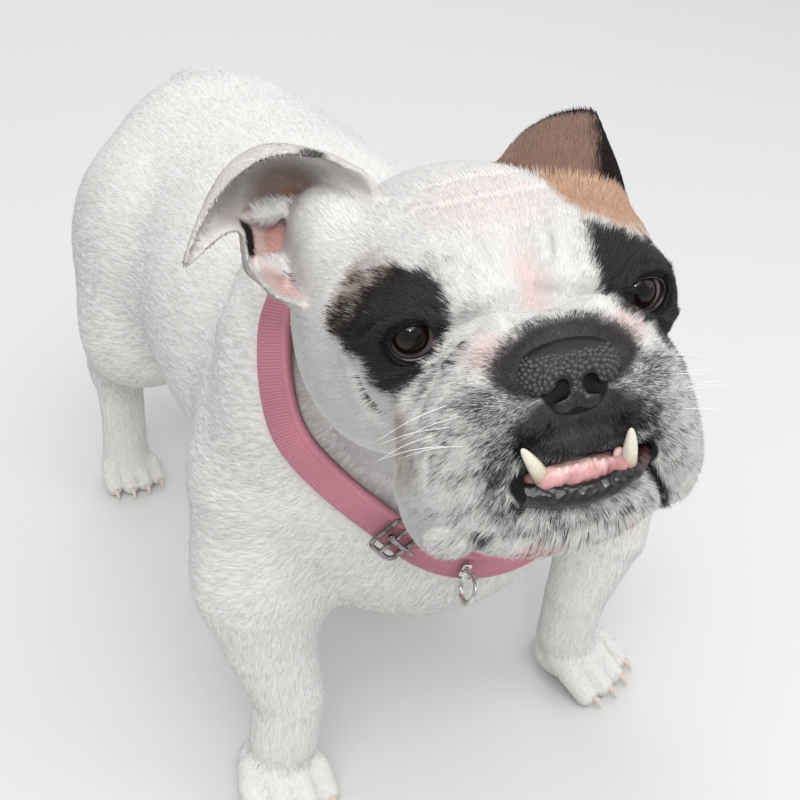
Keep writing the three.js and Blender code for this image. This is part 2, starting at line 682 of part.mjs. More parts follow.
// Collar: its middle line is where a leaning plane meets the neck, found by stepping out from the neck's
// axis. The strap lies flat on the surface there.
const COLLAR_UP = unit([0, -COLLAR_SLOPE, 1]);
const COLLAR_ACROSS = [1, 0, 0];
const COLLAR_BACK = cross(COLLAR_UP, COLLAR_ACROSS);
const COLLAR_MIDDLE = [COLLAR_AXIS[0], COLLAR_AXIS[1], COLLAR_Z + COLLAR_SLOPE * COLLAR_AXIS[1]];

function normalOf(p) {
  const small = 0.5;
  return unit([0, 1, 2].map((i) => {
    const step = [0, 1, 2].map((k) => (k === i ? small : 0));
    return trunk(add(p, step)) - trunk(sub(p, step));
  }));
}

function onNeck(angle) {
  const out = add(scaled(COLLAR_ACROSS, Math.cos(angle)), scaled(COLLAR_BACK, Math.sin(angle)));
  let r = 60;
  for (let step = 0; step < 60; step += 1) {
    r += 0.8 * (COLLAR_CLEAR - trunk(add(COLLAR_MIDDLE, scaled(out, r))));
  }
  return add(COLLAR_MIDDLE, scaled(out, r));
}

// At an angle round the neck: the strap's inner middle, and its directions along, across and out
function strapAt(angle) {
  const small = 0.02;
  const middle = onNeck(angle);
  const out = normalOf(middle);
  const along = unit(sub(onNeck(angle + small), onNeck(angle - small)));
  const across = unit(cross(out, along));
  const side = dot(across, COLLAR_UP) > 0 ? 1 : -1;
  return { middle, out, along, across: scaled(across, side) };
}

function buildCollar() {
  const count = 56;
  const verts = [];
  for (let i = 0; i < count; i += 1) {
    const { middle, out, across } = strapAt(2 * Math.PI * i / count);
    for (const end of [-0.5, 0.5]) {
      let p = add(middle, scaled(across, end * COLLAR_WIDTH));
      for (let step = 0; step < 6; step += 1) {
        p = add(p, scaled(out, COLLAR_CLEAR - trunk(p)));
      }
      verts.push(p, add(p, scaled(out, COLLAR_THICK)));
    }
  }
  const id = (i, k) => (i % count) * 4 + k;
  const tris = [];
  for (let i = 0; i < count; i += 1) {
    for (const [a, b] of [[1, 0], [3, 1], [2, 3], [0, 2]]) {
      tris.push(id(i, a), id(i, b), id(i + 1, b), id(i, a), id(i + 1, b), id(i + 1, a));
    }
  }
  parts.collar = solid(verts, tris);
}

// A place on the strap's outer face nearest to a point: x along the strap, y across it and z out of it
function strapPlace(near) {
  const d = sub(near, COLLAR_MIDDLE);
  const { middle, out, along, across } = strapAt(Math.atan2(dot(d, COLLAR_BACK), dot(d, COLLAR_ACROSS)));
  const x = dot(cross(along, across), out) > 0 ? along : scaled(along, -1);
  const basis = new THREE.Matrix4();
  basis.makeBasis(new THREE.Vector3(...x), new THREE.Vector3(...across), new THREE.Vector3(...out));
  return place(add(middle, scaled(out, COLLAR_THICK + 2 * GAP)), basis);
}

const RING_HANG = -1.5;

function buildHardware() {
  const slab = (at, centre, size) => solidOf(
    new THREE.BoxGeometry(...size), new THREE.Matrix4().makeTranslation(...centre), at);
  const frame = strapPlace(BUCKLE.near);
  const { long: reach, wide, wire, pin } = BUCKLE;
  const lift = wire / 2;
  const outer = slab(frame, [0, 0, lift], [reach, wide, wire]);
  const inner = slab(frame, [0, 0, lift], [reach - 2 * wire, wide - 2 * wire, wire * 2]);
  const bar = slab(frame, [0, 0, lift], [wire, wide - wire, wire]);
  const tongue = slab(frame, [reach * 0.3, 0, lift + pin * 0.4], [reach, pin, pin]);
  parts.collar_buckle = largest(outer.subtract(inner).add(bar).add(tongue));

  const hang = strapPlace(RING.near);
  const plate = slab(hang, [0, 0, RING.plate[2] / 2], RING.plate);
  const pivot = hang.to([0, 0, RING.plate[2] + RING.wire]);
  const out = sub(hang.to([0, 0, 1]), hang.to([0, 0, 0]));
  const strapwise = sub(hang.to([1, 0, 0]), hang.to([0, 0, 0]));
  const away = unit([out[0], out[1], RING_HANG]);
  const middle = add(pivot, scaled(away, RING.radius));
  const axis = new THREE.Vector3(0, 0, 1);
  const turned = new THREE.Quaternion().setFromUnitVectors(axis, new THREE.Vector3(...strapwise));
  const m = new THREE.Matrix4().compose(new THREE.Vector3(...middle), turned, new THREE.Vector3(1, 1, 1));
  parts.collar_ring = largest(plate.add(solidOf(new THREE.TorusGeometry(RING.radius, RING.wire, 6, 16), m)));
}

buildTorso();
buildNeck();
buildLegs();
buildPaws();
buildEyes();
buildHead();
buildCollar();
buildHardware();

// The faces of a solid with its shortest edges closed up, so that cuts leave no slivers
const SHORTEST = 0.04;
function welded(shape) {
  const { vertProperties: v, triVerts } = shape.getMesh();
  const point = (i) => [v[3 * i], v[3 * i + 1], v[3 * i + 2]];
  const root = Array.from({ length: v.length / 3 }, (unused, i) => i);
  const find = (i) => (root[i] === i ? i : find(root[i]));
  for (let t = 0; t < triVerts.length; t += 1) {
    const a = triVerts[t];
    const b = triVerts[t % 3 === 2 ? t - 2 : t + 1];
    if (long(sub(point(a), point(b))) < SHORTEST) {
      root[find(a)] = find(b);
    }
  }
  const faces = new Map();
  for (let t = 0; t < triVerts.length; t += 3) {
    const tri = [0, 1, 2].map((k) => find(triVerts[t + k]));
    if (tri[0] !== tri[1] && tri[1] !== tri[2] && tri[2] !== tri[0]) {
      const key = [...tri].sort((a, b) => a - b).join(' ');
      if (faces.has(key)) {
        faces.delete(key);
      } else {
        faces.set(key, tri);
      }
    }
  }
  const used = [...new Set([...faces.values()].flat())];
  const place = new Map(used.map((old, i) => [old, i]));
  const triangles = [...faces.values()].flat().map((old) => place.get(old));
  return largest(solid(used.map(point), triangles)).getMesh();
}

const COAT = { color: '#e9e4dc', roughness: 0.9 };
const LOOKS = {
  nose: { color: '#2b2a2c', roughness: 0.55 },
  eye_left: { color: '#24150e', roughness: 0.1 },
  eye_right: { color: '#24150e', roughness: 0.1 },
  collar: { color: '#d9687f', roughness: 0.8 },
  collar_buckle: { color: '#4a4c4a', roughness: 0.4, metalness: 0.9 },
  collar_ring: { color: '#6d6858', roughness: 0.3, metalness: 0.9 },
};

const dog = new THREE.Group();
const bounds = new THREE.Box3();
for (const [name, shape] of Object.entries(parts)) {
  const m = welded(shape);
  const geometry = new THREE.BufferGeometry();
  geometry.setAttribute('position', new THREE.BufferAttribute(m.vertProperties, 3));
  geometry.setIndex(new THREE.BufferAttribute(m.triVerts, 1));
  const material = new THREE.MeshStandardMaterial({ metalness: 0, ...COAT, ...LOOKS[name] });
  const piece = new THREE.Mesh(geometry, material);
  piece.name = name;
  geometry.computeBoundingBox();
  bounds.union(geometry.boundingBox);
  dog.add(piece);
}
dog.position.set(-(bounds.min.x + bounds.max.x) / 2, -(bounds.min.y + bounds.max.y) / 2, -bounds.min.z);

export default dog;
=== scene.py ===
# A young English bulldog, life size, dressed over its solids: one skin, a short coat in tufts, eyes, nose,
# mouth, claws, collar, a plain floor, soft light and the photograph's view. Lengths are millimetres until a
# mesh is made.
import math
import bpy
import numpy as np
from mathutils import Matrix, Vector
from mathutils.bvhtree import BVHTree
from mathutils.kdtree import KDTree


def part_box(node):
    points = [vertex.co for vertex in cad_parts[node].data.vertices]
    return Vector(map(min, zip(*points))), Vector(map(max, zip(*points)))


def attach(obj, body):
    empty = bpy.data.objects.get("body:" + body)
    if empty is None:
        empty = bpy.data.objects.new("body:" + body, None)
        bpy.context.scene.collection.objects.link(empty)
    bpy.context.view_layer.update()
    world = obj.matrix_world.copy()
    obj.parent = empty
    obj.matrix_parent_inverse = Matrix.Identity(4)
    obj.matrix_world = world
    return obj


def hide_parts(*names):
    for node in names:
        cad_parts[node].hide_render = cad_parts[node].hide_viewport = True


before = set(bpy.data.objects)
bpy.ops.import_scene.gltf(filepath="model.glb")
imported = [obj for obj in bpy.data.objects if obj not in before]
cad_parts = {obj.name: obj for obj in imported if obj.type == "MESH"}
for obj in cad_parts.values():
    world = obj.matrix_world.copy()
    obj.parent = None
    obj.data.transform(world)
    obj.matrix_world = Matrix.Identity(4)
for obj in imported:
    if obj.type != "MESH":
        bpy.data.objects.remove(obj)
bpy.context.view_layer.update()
MM = 0.001
RNG = np.random.default_rng(11)

# Named sizes, the same as the solids'
HEAD_AT = np.array([-44.0, -185.0, 361.0])
HEAD_YAW, HEAD_PITCH, HEAD_ROLL = -13.7, -14.2, -6.7
EYE = np.array([46.5, -50.0, 8.0])
EYE_R = 12.5
EYE_YAW = 12.0
IRIS_R, PUPIL_R = 7.4, 3.4
GAZE = {"right": (0.0, 1.6), "left": (-3.4, 0.3)}
# The eye's opening: how far the lids' edge lies from the eye's axis, every 30 degrees from the outer corner
LID_REACH = (8.6, 7.4, 6.6, 6.5, 7.4, 9.2, 10.2, 11.4, 8.6, 8.1, 8.3, 8.5)
COLLAR_Z, COLLAR_SLOPE = 477.0, 1.68
COLLAR_AXIS = (-10.0, -95.0)
COLLAR_WIDTH, COLLAR_THICK, COLLAR_CLEAR = 17.0, 3.0, 3.6
FORE_RIGHT = ([(101, -86, 152), (97, -93, 110), (88, -101, 70), (90, -101, 38)], [32, 28, 22, 21.5])
FORE_LEFT = ([(140, -76, 162), (135, -90, 108), (116, -96, 66), (113, -96, 36)], [38, 29, 21, 20])
HIND = ([(79, 156, 165), (74, 204, 128), (66, 238, 95)], [33, 26, 20])
HOCK = ([(66, 238, 95), (66, 230, 50), (67, 226, 25)], [19, 17.5, 18])
PAWS = [(-95, -105, 0, 1.0), (121, -99, 26, 1.0), (-67, 222, 0, 0.8), (67, 222, 0, 0.8)]
TOES = (-1.5, -0.5, 0.5, 1.5)
TOE_STEP = 13.5
LOWER_LIP = [(0, -103, -51), (12, -102, -50), (22, -98.5, -47.5), (30, -91, -45.5)]
MOUTH = [(0, -104, -43), (14, -102, -43), (24, -96, -43), (32, -87, -44)]
GUM = [(0, -98.5, -43), (9, -98, -43), (17, -95, -44)]
GUM_BED = [(0, -94, -49), (9, -93.5, -49), (17, -90, -50)]
CANINES = [[(-15, -99, -42), (-24.3, -106.5, -25.3)], [(20, -98, -44.5), (18.8, -106.5, -26.8)]]
INCISOR_X = (-9, -5.6, -2, 2, 5.6, 9)
CLAW_REACH, CLAW_BACK, CLAW_LOW, CLAW_RISE = 39.5, 8.0, 2.8, 5.6
BUCKLE_NEAR, RING_NEAR = (-60, -160, 216), (-26, -170, 197)
EAR_RIGHT = [
    [(-38, 10, 50), (-43, 8, 58), (-48, 5, 62)],
    [(-48, 22, 50), (-55, 16, 65), (-61, 4, 70)],
    [(-56, 32, 46), (-74, 26, 70), (-82, 2, 74)],
    [(-60, 36, 40), (-87, 26, 66), (-104, 0, 63)],
    [(-62, 38, 36), (-93, 26, 56), (-122, -10, 41)],
    [(-64, 38, 30), (-91, 28, 48), (-105, 3, 46)],
    [(-68, 36, 24), (-89, 26, 40), (-96, 8, 44)],
    [(-70, 30, 15), (-90, 18, 28), (-96, 3, 32)],
    [(-71, 20, 6), (-84, 8, 15), (-89, -2, 19)],
    [(-69, 8, 2), (-75, 1, 9), (-79, -6, 13)],
]
EAR_LEFT = [
    [(22, 22, 46), (25, 24, 51), (27, 26, 54)],
    [(31, 10, 48), (34, 15, 57), (37, 24, 62)],
    [(42, 4, 46), (46, 8, 58), (49, 18, 67)],
    [(53, 0, 42), (57, 3, 55), (60, 10, 67)],
    [(62, 2, 34), (66, 7, 45), (67, 17, 55)],
    [(67, 8, 24), (71, 14, 34), (73, 25, 40)],
    [(69, 18, 12), (74, 24, 21), (77, 33, 27)],
]

# How deep the skin lies under the solids' surface, and how much thicker the ears are while they are meshed
BODY_DEPTH, HEAD_DEPTH, EAR_PLUMP = 1.8, 1.0, 1.5
# The skin's mesh: its first step, its reach, and how far from the head's middle it is made finer
SKIN_STEP, SKIN_LOW, SKIN_HIGH = 3.0, (-185, -318, -9), (178, 282, 452)
HEAD_FAR, FACE_FAR = 150, 135
# The point that the head's hair grows away from, and the width of a hair in the skin's streaks
HAIR_FROM = np.array([0, -97, -2])
HAIR = 0.55
CAMERA_AT = np.array([-350.0, -621.0, 649.0])
CAMERA_YAW, CAMERA_DOWN, CAMERA_ROLL, FOCAL_PX = 31.7, 32.9, 4.4, 1413.0
SENSOR_MM, PICTURE_PX = 36, 800


def rot(x, y, z):
    a, b, c = np.radians([x, y, z])
    about_x = np.array([[1, 0, 0], [0, np.cos(a), -np.sin(a)], [0, np.sin(a), np.cos(a)]])
    about_y = np.array([[np.cos(b), 0, np.sin(b)], [0, 1, 0], [-np.sin(b), 0, np.cos(b)]])
    about_z = np.array([[np.cos(c), -np.sin(c), 0], [np.sin(c), np.cos(c), 0], [0, 0, 1]])
    return about_z @ about_y @ about_x


HEAD_TURN = rot(0, 0, HEAD_YAW) @ rot(HEAD_PITCH, 0, 0) @ rot(0, HEAD_ROLL, 0)


def to_head(p):
    return (p - HEAD_AT) @ HEAD_TURN


def from_head(h):
    return HEAD_AT + np.asarray(h, float) @ HEAD_TURN.T


def unit(v):
    return v / np.maximum(np.linalg.norm(v, axis=-1, keepdims=True), 1e-9)


def mirrored(p):
    m = p.copy()
    m[:, 0] = np.abs(m[:, 0])
    return m


# Distance fields
def ball(p, centre, radii, turn=None):
    q = p - np.array(centre, float)
    if turn is not None:
        q = q @ turn
    r = np.array(radii, float)
    near = np.linalg.norm(q / r, axis=1)
    slope = np.linalg.norm(q / (r * r), axis=1)
    return near * (near - 1.0) / np.maximum(slope, 1e-9)


def rod(p, a, b, ra, rb):
    a, b = np.array(a, float), np.array(b, float)
    along = b - a
    t = np.clip(((p - a) @ along) / (along @ along), 0.0, 1.0)
    return np.linalg.norm(p - a - t[:, None] * along, axis=1) - (ra + (rb - ra) * t)


def chain(p, points, radii):
    d = rod(p, points[0], points[1], radii[0], radii[1])
    for i in range(1, len(points) - 1):
        d = np.minimum(d, rod(p, points[i], points[i + 1], radii[i], radii[i + 1]))
    return d


def join(a, b, k):
    h = np.maximum(k - np.abs(a - b), 0.0) / k
    return np.minimum(a, b) - h * h * k * 0.25


def carve(a, b, k):
    return -join(-a, b, k)


# Joins balls to a shape: each one's middle, its radii, its softness and, if any, its turn
def join_balls(d, p, balls):
    for centre, radii, soft, *turn in balls:
        d = join(d, ball(p, centre, radii, *turn), soft)
    return d


def skull(h):
    m = mirrored(h)
    d = join_balls(ball(m, (0, 14, 8), (65, 78, 44)), m, [
        ((50, 8, -10), (31, 50, 46), 22), ((0, 20, -30), (58, 60, 46), 30),
        ((31, -40, 21), (24, 20, 17), 18), ((50, -38, -1), (19, 24, 22), 14),
        ((0, -48, -12), (46, 36, 34), 20)])
    d = join_balls(d, h, [((-58, 20, 32), (18, 22, 22), 14), ((52, 16, 32), (17, 20, 18), 14)])
    return join(d, ball(m, EYE, (16, 16, 15)), 8)


def muzzle(h):
    m = mirrored(h)
    d = chain(m, [(0, -84, 9), (18, -82, 6), (32, -76, -3), (44, -66, -20)], [9, 9.5, 11, 13])
    return join_balls(d, m, [
        ((22, -80, -20), (26, 24, 24), 10), ((41, -68, -43), (21, 28, 38), 14, rot(0, -12, 0)),
        ((0, -86, -12), (24, 18, 20), 8)])


def jaw(h):
    m = mirrored(h)
    d = join(ball(m, (0, -68, -64), (48, 34, 22.5)), ball(m, (0, -30, -56), (46, 50, 26)), 20)
    return join(d, chain(m, LOWER_LIP, [4, 4, 4, 4]), 5)


def nose_leather(h):
    m = mirrored(h)
    return join_balls(ball(m, (0, -92, -2), (18.5, 11, 10)), m, [
        ((10.5, -95, -4.5), (8.5, 7.5, 8), 5), ((0, -95, -11), (9, 8, 8), 5)])


def head_flesh(h):
    m = mirrored(h)
    d = join(skull(h), muzzle(h), 5)
    d = carve(d, rod(m, (0, -110, -20), (0, -107, -38), 1.6, 2.6), 3)
    d = carve(d, chain(m, [(0, -72, 18), (0, -58, 34), (0, -42, 54)], [5, 4, 3]), 12)
    return join(d, jaw(h), 2)


def paw(p, foot):
    x, y, yaw, scale = foot
    q = ((p - np.array([x, y, 0.0])) @ rot(0, 0, yaw)) / scale
    d = ball(q, (0, 4, 15.5), (24, 26, 17))
    for k in TOES:
        tx, back = k * TOE_STEP, abs(k) * 4
        toe = chain(q, [(tx * 0.8, 4, 20), (tx, -14 + back, 17), (tx * 1.04, -27 + back, 7.5)], [9, 9.6, 9])
        d = join(d, toe, 2.5)
    return d * scale


def body(p):
    m = mirrored(p)
    d = join_balls(ball(m, (0, -78, 206), (102, 90, 102)), m, [
        ((0, 30, 222), (106, 135, 98), 50), ((0, 125, 236), (80, 95, 80), 50),
        ((0, 182, 238), (86, 70, 74), 40), ((0, 212, 270), (60, 42, 42), 30)])
    d = join(d, chain(m, [(0, 240, 292), (0, 256, 291), (0, 268, 277)], [17, 14, 10]), 14)
    d = join(d, ball(m, (82, -72, 222), (38, 54, 78), rot(12, 0, 0)), 30)
    d = join(d, rod(m, (94, -74, 200), (102, -84, 150), 38, 30), 25)
    d = join(d, ball(m, (70, 172, 208), (40, 66, 72), rot(-20, 0, 0)), 30)
    fore = np.where(p[:, 0] < 0, chain(m, *FORE_RIGHT), chain(m, *FORE_LEFT))
    d = join(d, fore, 26)
    d = join(d, chain(m, *HIND), 32)
    d = join(d, chain(m, *HOCK), 14)
    for foot in PAWS:
        near = (p[:, 2] < 90) & (np.abs(p[:, 0] - foot[0]) < 70) & (np.abs(p[:, 1] - foot[1]) < 80)
        if near.any():
            d[near] = join(d[near], paw(p[near], foot), 8)
    return d


NECK_BASE = (0, -60, 250)
NECK_TOP = from_head((0, 34, -14))


def trunk(p):
    d = join(body(p), rod(p, NECK_BASE, NECK_TOP, 78, 60), 34)
    return join(d, chain(mirrored(p), [(70, -52, 314), (84, -66, 290), (92, -88, 258)], [24, 26, 20]), 30)


# A smooth curve through points, or through rows of points
def smooth_line(points, count):
    p = np.array(points, float)
    p = np.concatenate([[2 * p[0] - p[1]], p, [2 * p[-1] - p[-2]]])
    u = np.linspace(0, len(p) - 3, count)
    i = np.minimum(u.astype(int), len(p) - 4)
    t = (u - i).reshape(-1, *[1] * (p.ndim - 1))
    a, b, c, d = p[i], p[i + 1], p[i + 2], p[i + 3]
    square, cube = 2 * a - 5 * b + 4 * c - d, 3 * b - a - 3 * c + d
    return 0.5 * (2 * b + (c - a) * t + square * t ** 2 + cube * t ** 3)


def tree_of(points):
    tree = KDTree(len(points))
    for i, point in enumerate(points):
        tree.insert(point, i)
    tree.balance()
    return tree


# An ear as a dense grid of points on its curved sheet, with their places across the ear and out along it
class Ear:
    def __init__(self, columns, across, out):
        rows = smooth_line(columns, across)
        v = np.linspace(0, 1, out)[None, :, None]
        grid = (1 - v) * (1 - 2 * v) * rows[:, None, 0] + 4 * v * (1 - v) * rows[:, None, 1]
        grid = grid + v * (2 * v - 1) * rows[:, None, 2]
        self.points = grid.reshape(-1, 3)
        u, v = np.meshgrid(np.linspace(0, 1, across), np.linspace(0, 1, out), indexing="ij")
        self.u, self.v = u.ravel(), v.ravel()
        du, dv = (np.gradient(grid, axis=axis).reshape(-1, 3) for axis in (0, 1))
        self.normal, self.out = unit(np.cross(du, dv)), unit(dv)
        self.tree = tree_of(self.points)
        self.low, self.high = self.points.min(0) - 12, self.points.max(0) + 12

    def near(self, h):
        return ((h > self.low) & (h < self.high)).all(1)

    def find(self, h):
        found = [self.tree.find(q)[1:] for q in h]
        return np.array([f[0] for f in found]), np.array([f[1] for f in found])


EARS = {"right": Ear(EAR_RIGHT, 130, 52), "left": Ear(EAR_LEFT, 90, 44)}


def ear_field(h, plump=0.0):
    d = np.full(len(h), 40.0)
    for ear in EARS.values():
        near = ear.near(h)
        if near.any():
            index, gap = ear.find(h[near])
            thick = 2.3 - 0.9 * ear.v[index] ** 3 + plump
            d[near] = np.minimum(d[near], gap - thick + HEAD_DEPTH * 0.4)
    return d


# Steps down a field's slope onto its surface
def slope(field, p, small=0.4):
    g = np.zeros_like(p)
    for axis in range(3):
        step = np.zeros(3)
        step[axis] = small
        g[:, axis] = (field(p + step) - field(p - step)) / (2 * small)
    return g


def settle(field, p, rounds=2, longest=1.5):
    for _ in range(rounds):
        g = slope(field, p)
        move = field(p)[:, None] * g / np.maximum((g * g).sum(1, keepdims=True), 0.1)
        far = np.linalg.norm(move, axis=1, keepdims=True)
        p = p - move * np.minimum(1, longest / np.maximum(far, 1e-9))
    return p


def bare_head(h):
    return head_flesh(h) + HEAD_DEPTH


def laid(points):
    return settle(bare_head, np.array(points, float), 5, 6)


def swell(count, radius):
    return radius * np.sin(np.pi * np.linspace(0.1, 0.9, count)) ** 0.6


# Grooves and rolls of the face, both sides alike: the line each follows on it, its radius and its softness
GROOVES = [
    ([(0, -65, 15), (15, -69, 13.6), (27, -67, 9.4), (37, -66.5, 5.6), (44, -69, -1)], 2.0, 6),
    ([(44, -69, -1), (50, -70, -9), (57, -69, -19), (60, -63, -34), (61, -58, -48)], 3.0, 6),
    ([(37, -77, 6), (44, -78, -1), (51, -78.5, -10), (55.5, -78.7, -21), (58.6, -76, -33)], 1.7, 5),
    ([(46, -86, -18), (50, -84, -30), (50, -84, -42)], 0.4, 2),
    ([(15, -100, -9), (22, -97, -7), (29, -95.5, -7), (36, -93, -9), (43, -89, -14), (48, -85, -22)],
     1.9, 4),
    ([(62, -40, -8), (63, -38, -30), (58, -38, -56)], 1.6, 8),
    ([(10, -60, 30), (13, -52, 40), (14, -38, 46)], 0.9, 3.5),
    ([(63, -50, 9), (58, -57, 15), (51, -61, 18.5), (46, -61.6, 19.6), (40, -61, 18), (35, -62, 13)],
     1.3, 2.2),
    ([(22, -102, -28), (27, -99, -33), (31, -94, -40)], 0.7, 3),
]
ROLLS = [
    ([(25, -93, -1), (22.5, -93, 5), (17.5, -91, 9.6), (9.7, -90, 13.4), (-1, -90, 15)], 2.4, 3.5),
    ([(40, -80, 2), (33, -82, 8), (20, -80, 15), (8, -76, 18), (-1, -74, 18)], 2.2, 6),
    ([(37, -62, 2), (46, -65, -4), (54, -61, -7), (61, -52, -5)], 1.8, 4),
    ([(-1, -19, 48), (9, -19, 47), (18, -16, 46), (27, -10, 44)], 0.2, 4.5),
    ([(-1, 2, 52), (10, 2, 51), (22, 6, 50)], 0.2, 4.5),
]
# Creases between the chin and the lips that hang over it, different on each side
CREASES = [
    ([(-20, -96, -49), (-24, -91, -55), (-29, -86, -62), (-33, -82, -67)], [2.4, 3.2, 2.4, 0.3], 2.5),
    ([(35, -87, -51), (40, -83, -61), (44, -76, -73)], [1.6, 2.0, 0.3], 2.5),
]
# The upper lip's edge over the gum, and the hanging lip that covers the right end of the lower one
UPPER_LIP = ([(0, -98, -30.5), (8, -98.6, -31), (16, -97.6, -31.5), (24, -93, -34)], [5, 5, 5, 4.5])
HANGING_LIP = ([(-27, -96, -36), (-28, -96.5, -46), (-33, -90, -57)], [5.5, 6.5, 8])
GROOVES = [(laid(line), swell(len(line), radius), soft) for line, radius, soft in GROOVES]
CREASES = [(laid(line), radii, soft) for line, radii, soft in CREASES]
ROLLS = [(laid(line), swell(len(line), radius), soft) for line, radius, soft in ROLLS]


def folds(h, d):
    near = np.abs(d) < 9
    m, e = mirrored(h[near]), d[near]
    for line, radii, soft in ROLLS:
        e = join(e, chain(m, line, radii), soft)
    for line, radii, soft in GROOVES:
        e = carve(e, chain(m, line, radii), soft)
    e = carve(e, rod(m, (0, -104, -16), (0, -106, -40), 1.2, 1.8), 1.6)
    d[near] = e
    return d


# The direction that an eye looks in when it looks straight out, and the one across it
EYE_AHEAD = np.array([math.sin(math.radians(EYE_YAW)), -math.cos(math.radians(EYE_YAW)), 0])
EYE_ACROSS = np.array([-EYE_AHEAD[1], EYE_AHEAD[0], 0])


def lid_reach(angle):
    steps = np.radians(np.arange(0, 361, 30))
    reach = np.append(LID_REACH, LID_REACH[0])
    return sum(np.interp((angle + turn) % (2 * np.pi), steps, reach) for turn in (-0.15, 0.0, 0.15)) / 3


# For each point: its distance from the eye's axis, how far the lids reach there, how far ahead of the eye's
# middle it lies, and how far from it
def eye_view(h):
    q = mirrored(h) - EYE
    x, ahead = q @ EYE_ACROSS, q @ EYE_AHEAD
    return np.hypot(x, q[:, 2]), lid_reach(np.arctan2(q[:, 2], x)), ahead, np.linalg.norm(q, axis=1)


def eyelids(h, d):
    around, reach, ahead, far = eye_view(h)
    near = far < 40
    lids = np.maximum(far - (EYE_R + 2.3), around - reach - 4.5)
    d[near] = join(d[near], lids[near], 3)
    opening = np.maximum(around - reach, 4.0 - ahead)
    d[near] = carve(d[near], opening[near], 1.2)
    return d


def head_skin(h):
    m = mirrored(h)
    d = eyelids(h, folds(h, bare_head(h)))
    d = carve(d, chain(m, MOUTH, [6, 6, 5, 3]), 2)
    d = join(d, chain(m, *UPPER_LIP), 5)
    d = join(d, chain(h, *HANGING_LIP), 4)
    d = carve(d, rod(m, (0, -105, -19), (0, -103, -38), 1.2, 1.5), 1.4)
    for line, radii, soft in CREASES:
        d = carve(d, chain(h, line, radii), soft)
    return join(d, chain(m, LOWER_LIP, [3.4, 3.4, 3.2, 2.8]), 1.5)


# Lumps inside the right ear: a crest of hair and the lower lobe
EAR_LUMPS = [
    ([(-70, 31, 47), (-79, 29, 45), (-88, 24, 46)], [2.5, 4.0, 3.2], 3),
    ([(-77, 22, 24), (-85, 15, 23), (-92, 10, 28)], [3.0, 4.5, 4.0], 5),
    ([(-62, 20, 46), (-66, 18, 36), (-70, 20, 28)], [3.0, 3.5, 3.0], 4),
]


def skin(p, plump=0.0):
    d = trunk(p) + BODY_DEPTH
    h = to_head(p)
    near = np.linalg.norm(h, axis=1) < 190
    if near.any():
        d[near] = join(d[near], head_skin(h[near]), 16)
        ears = ear_field(h[near], plump)
        for line, radii, soft in EAR_LUMPS:
            ears = join(ears, chain(h[near], line, radii), soft)
        d[near] = join(d[near], ears, 7)
    return np.maximum(d, 0.4 - p[:, 2])


# Surface nets on a narrow band round a field's surface
def nets(field, low, high, step, coarse=4):
    low, high = np.array(low, float), np.array(high, float)
    n = np.ceil((high - low) / step / coarse).astype(int) * coarse + 1
    cn = (n - 1) // coarse + 1
    axes = [low[i] + step * coarse * np.arange(cn[i]) for i in range(3)]
    rough = field(np.stack(np.meshgrid(*axes, indexing="ij"), -1).reshape(-1, 3)).reshape(cn)
    near = np.abs(rough) < step * coarse * 1.5
    cell = np.zeros(cn - 1, bool)
    for i, j, k in np.ndindex(2, 2, 2):
        cell |= near[i:cn[0] - 1 + i, j:cn[1] - 1 + j, k:cn[2] - 1 + k]
    pick = [np.minimum((np.arange(n[i]) + coarse // 2) // coarse, cn[i] - 1) for i in range(3)]
    fine = np.where(rough[np.ix_(*pick)] < 0, -1e3, 1e3).astype(np.float32)
    mask = np.zeros(n, bool)
    ci, cj, ck = np.nonzero(cell)
    for a, b, c in np.ndindex(coarse + 1, coarse + 1, coarse + 1):
        mask[ci * coarse + a, cj * coarse + b, ck * coarse + c] = True
    points = low + step * np.argwhere(mask)
    fine[mask] = np.concatenate([field(points[s:s + 300000]) for s in range(0, len(points), 300000)])
    return nets_of(fine, low, step)


def nets_of(f, low, step):
    n = np.array(f.shape)
    inside = f < 0
    cn = n - 1
    count = np.zeros(cn, np.int8)
    for i, j, k in np.ndindex(2, 2, 2):
        count += inside[i:cn[0] + i, j:cn[1] + j, k:cn[2] + k]
    cells = (count > 0) & (count < 8)
    ids = -np.ones(cn, np.int64)
    at = np.argwhere(cells)
    ids[cells] = np.arange(len(at))
    total, number = np.zeros((len(at), 3)), np.zeros(len(at))
    for axis in range(3):
        others = [a for a in range(3) if a != axis]
        for u, v in np.ndindex(2, 2):
            start = np.zeros(3, int)
            start[others[0]], start[others[1]] = u, v
            end = start.copy()
            end[axis] = 1
            fa = f[tuple((at + start).T)].astype(float)
            fb = f[tuple((at + end).T)].astype(float)
            crossed = (fa < 0) != (fb < 0)
            t = np.where(crossed, fa / np.where(crossed, fa - fb, 1), 0)
            point = np.tile(start.astype(float), (len(at), 1))
            point[:, axis] += t
            total[crossed] += point[crossed]
            number[crossed] += 1
    verts = low + step * (at + total / number[:, None])
    quads = []
    for axis in range(3):
        a1, a2 = (axis + 1) % 3, (axis + 2) % 3
        head, tail = [slice(None)] * 3, [slice(None)] * 3
        head[axis], tail[axis] = slice(0, n[axis] - 1), slice(1, n[axis])
        e = np.argwhere(inside[tuple(head)] != inside[tuple(tail)])
        e = e[(e[:, a1] > 0) & (e[:, a2] > 0) & (e[:, a1] < n[a1] - 1) & (e[:, a2] < n[a2] - 1)]
        flip = inside[tuple(e.T)]
        corners = []
        for du, dv in ((-1, -1), (0, -1), (0, 0), (-1, 0)):
            c = e.copy()
            c[:, a1] += du
            c[:, a2] += dv
            corners.append(ids[tuple(c.T)])
        q = np.stack(corners, 1)
        q[~flip] = q[~flip][:, ::-1]
        quads.append(q)
    return verts, split_quads(verts, np.concatenate(quads))


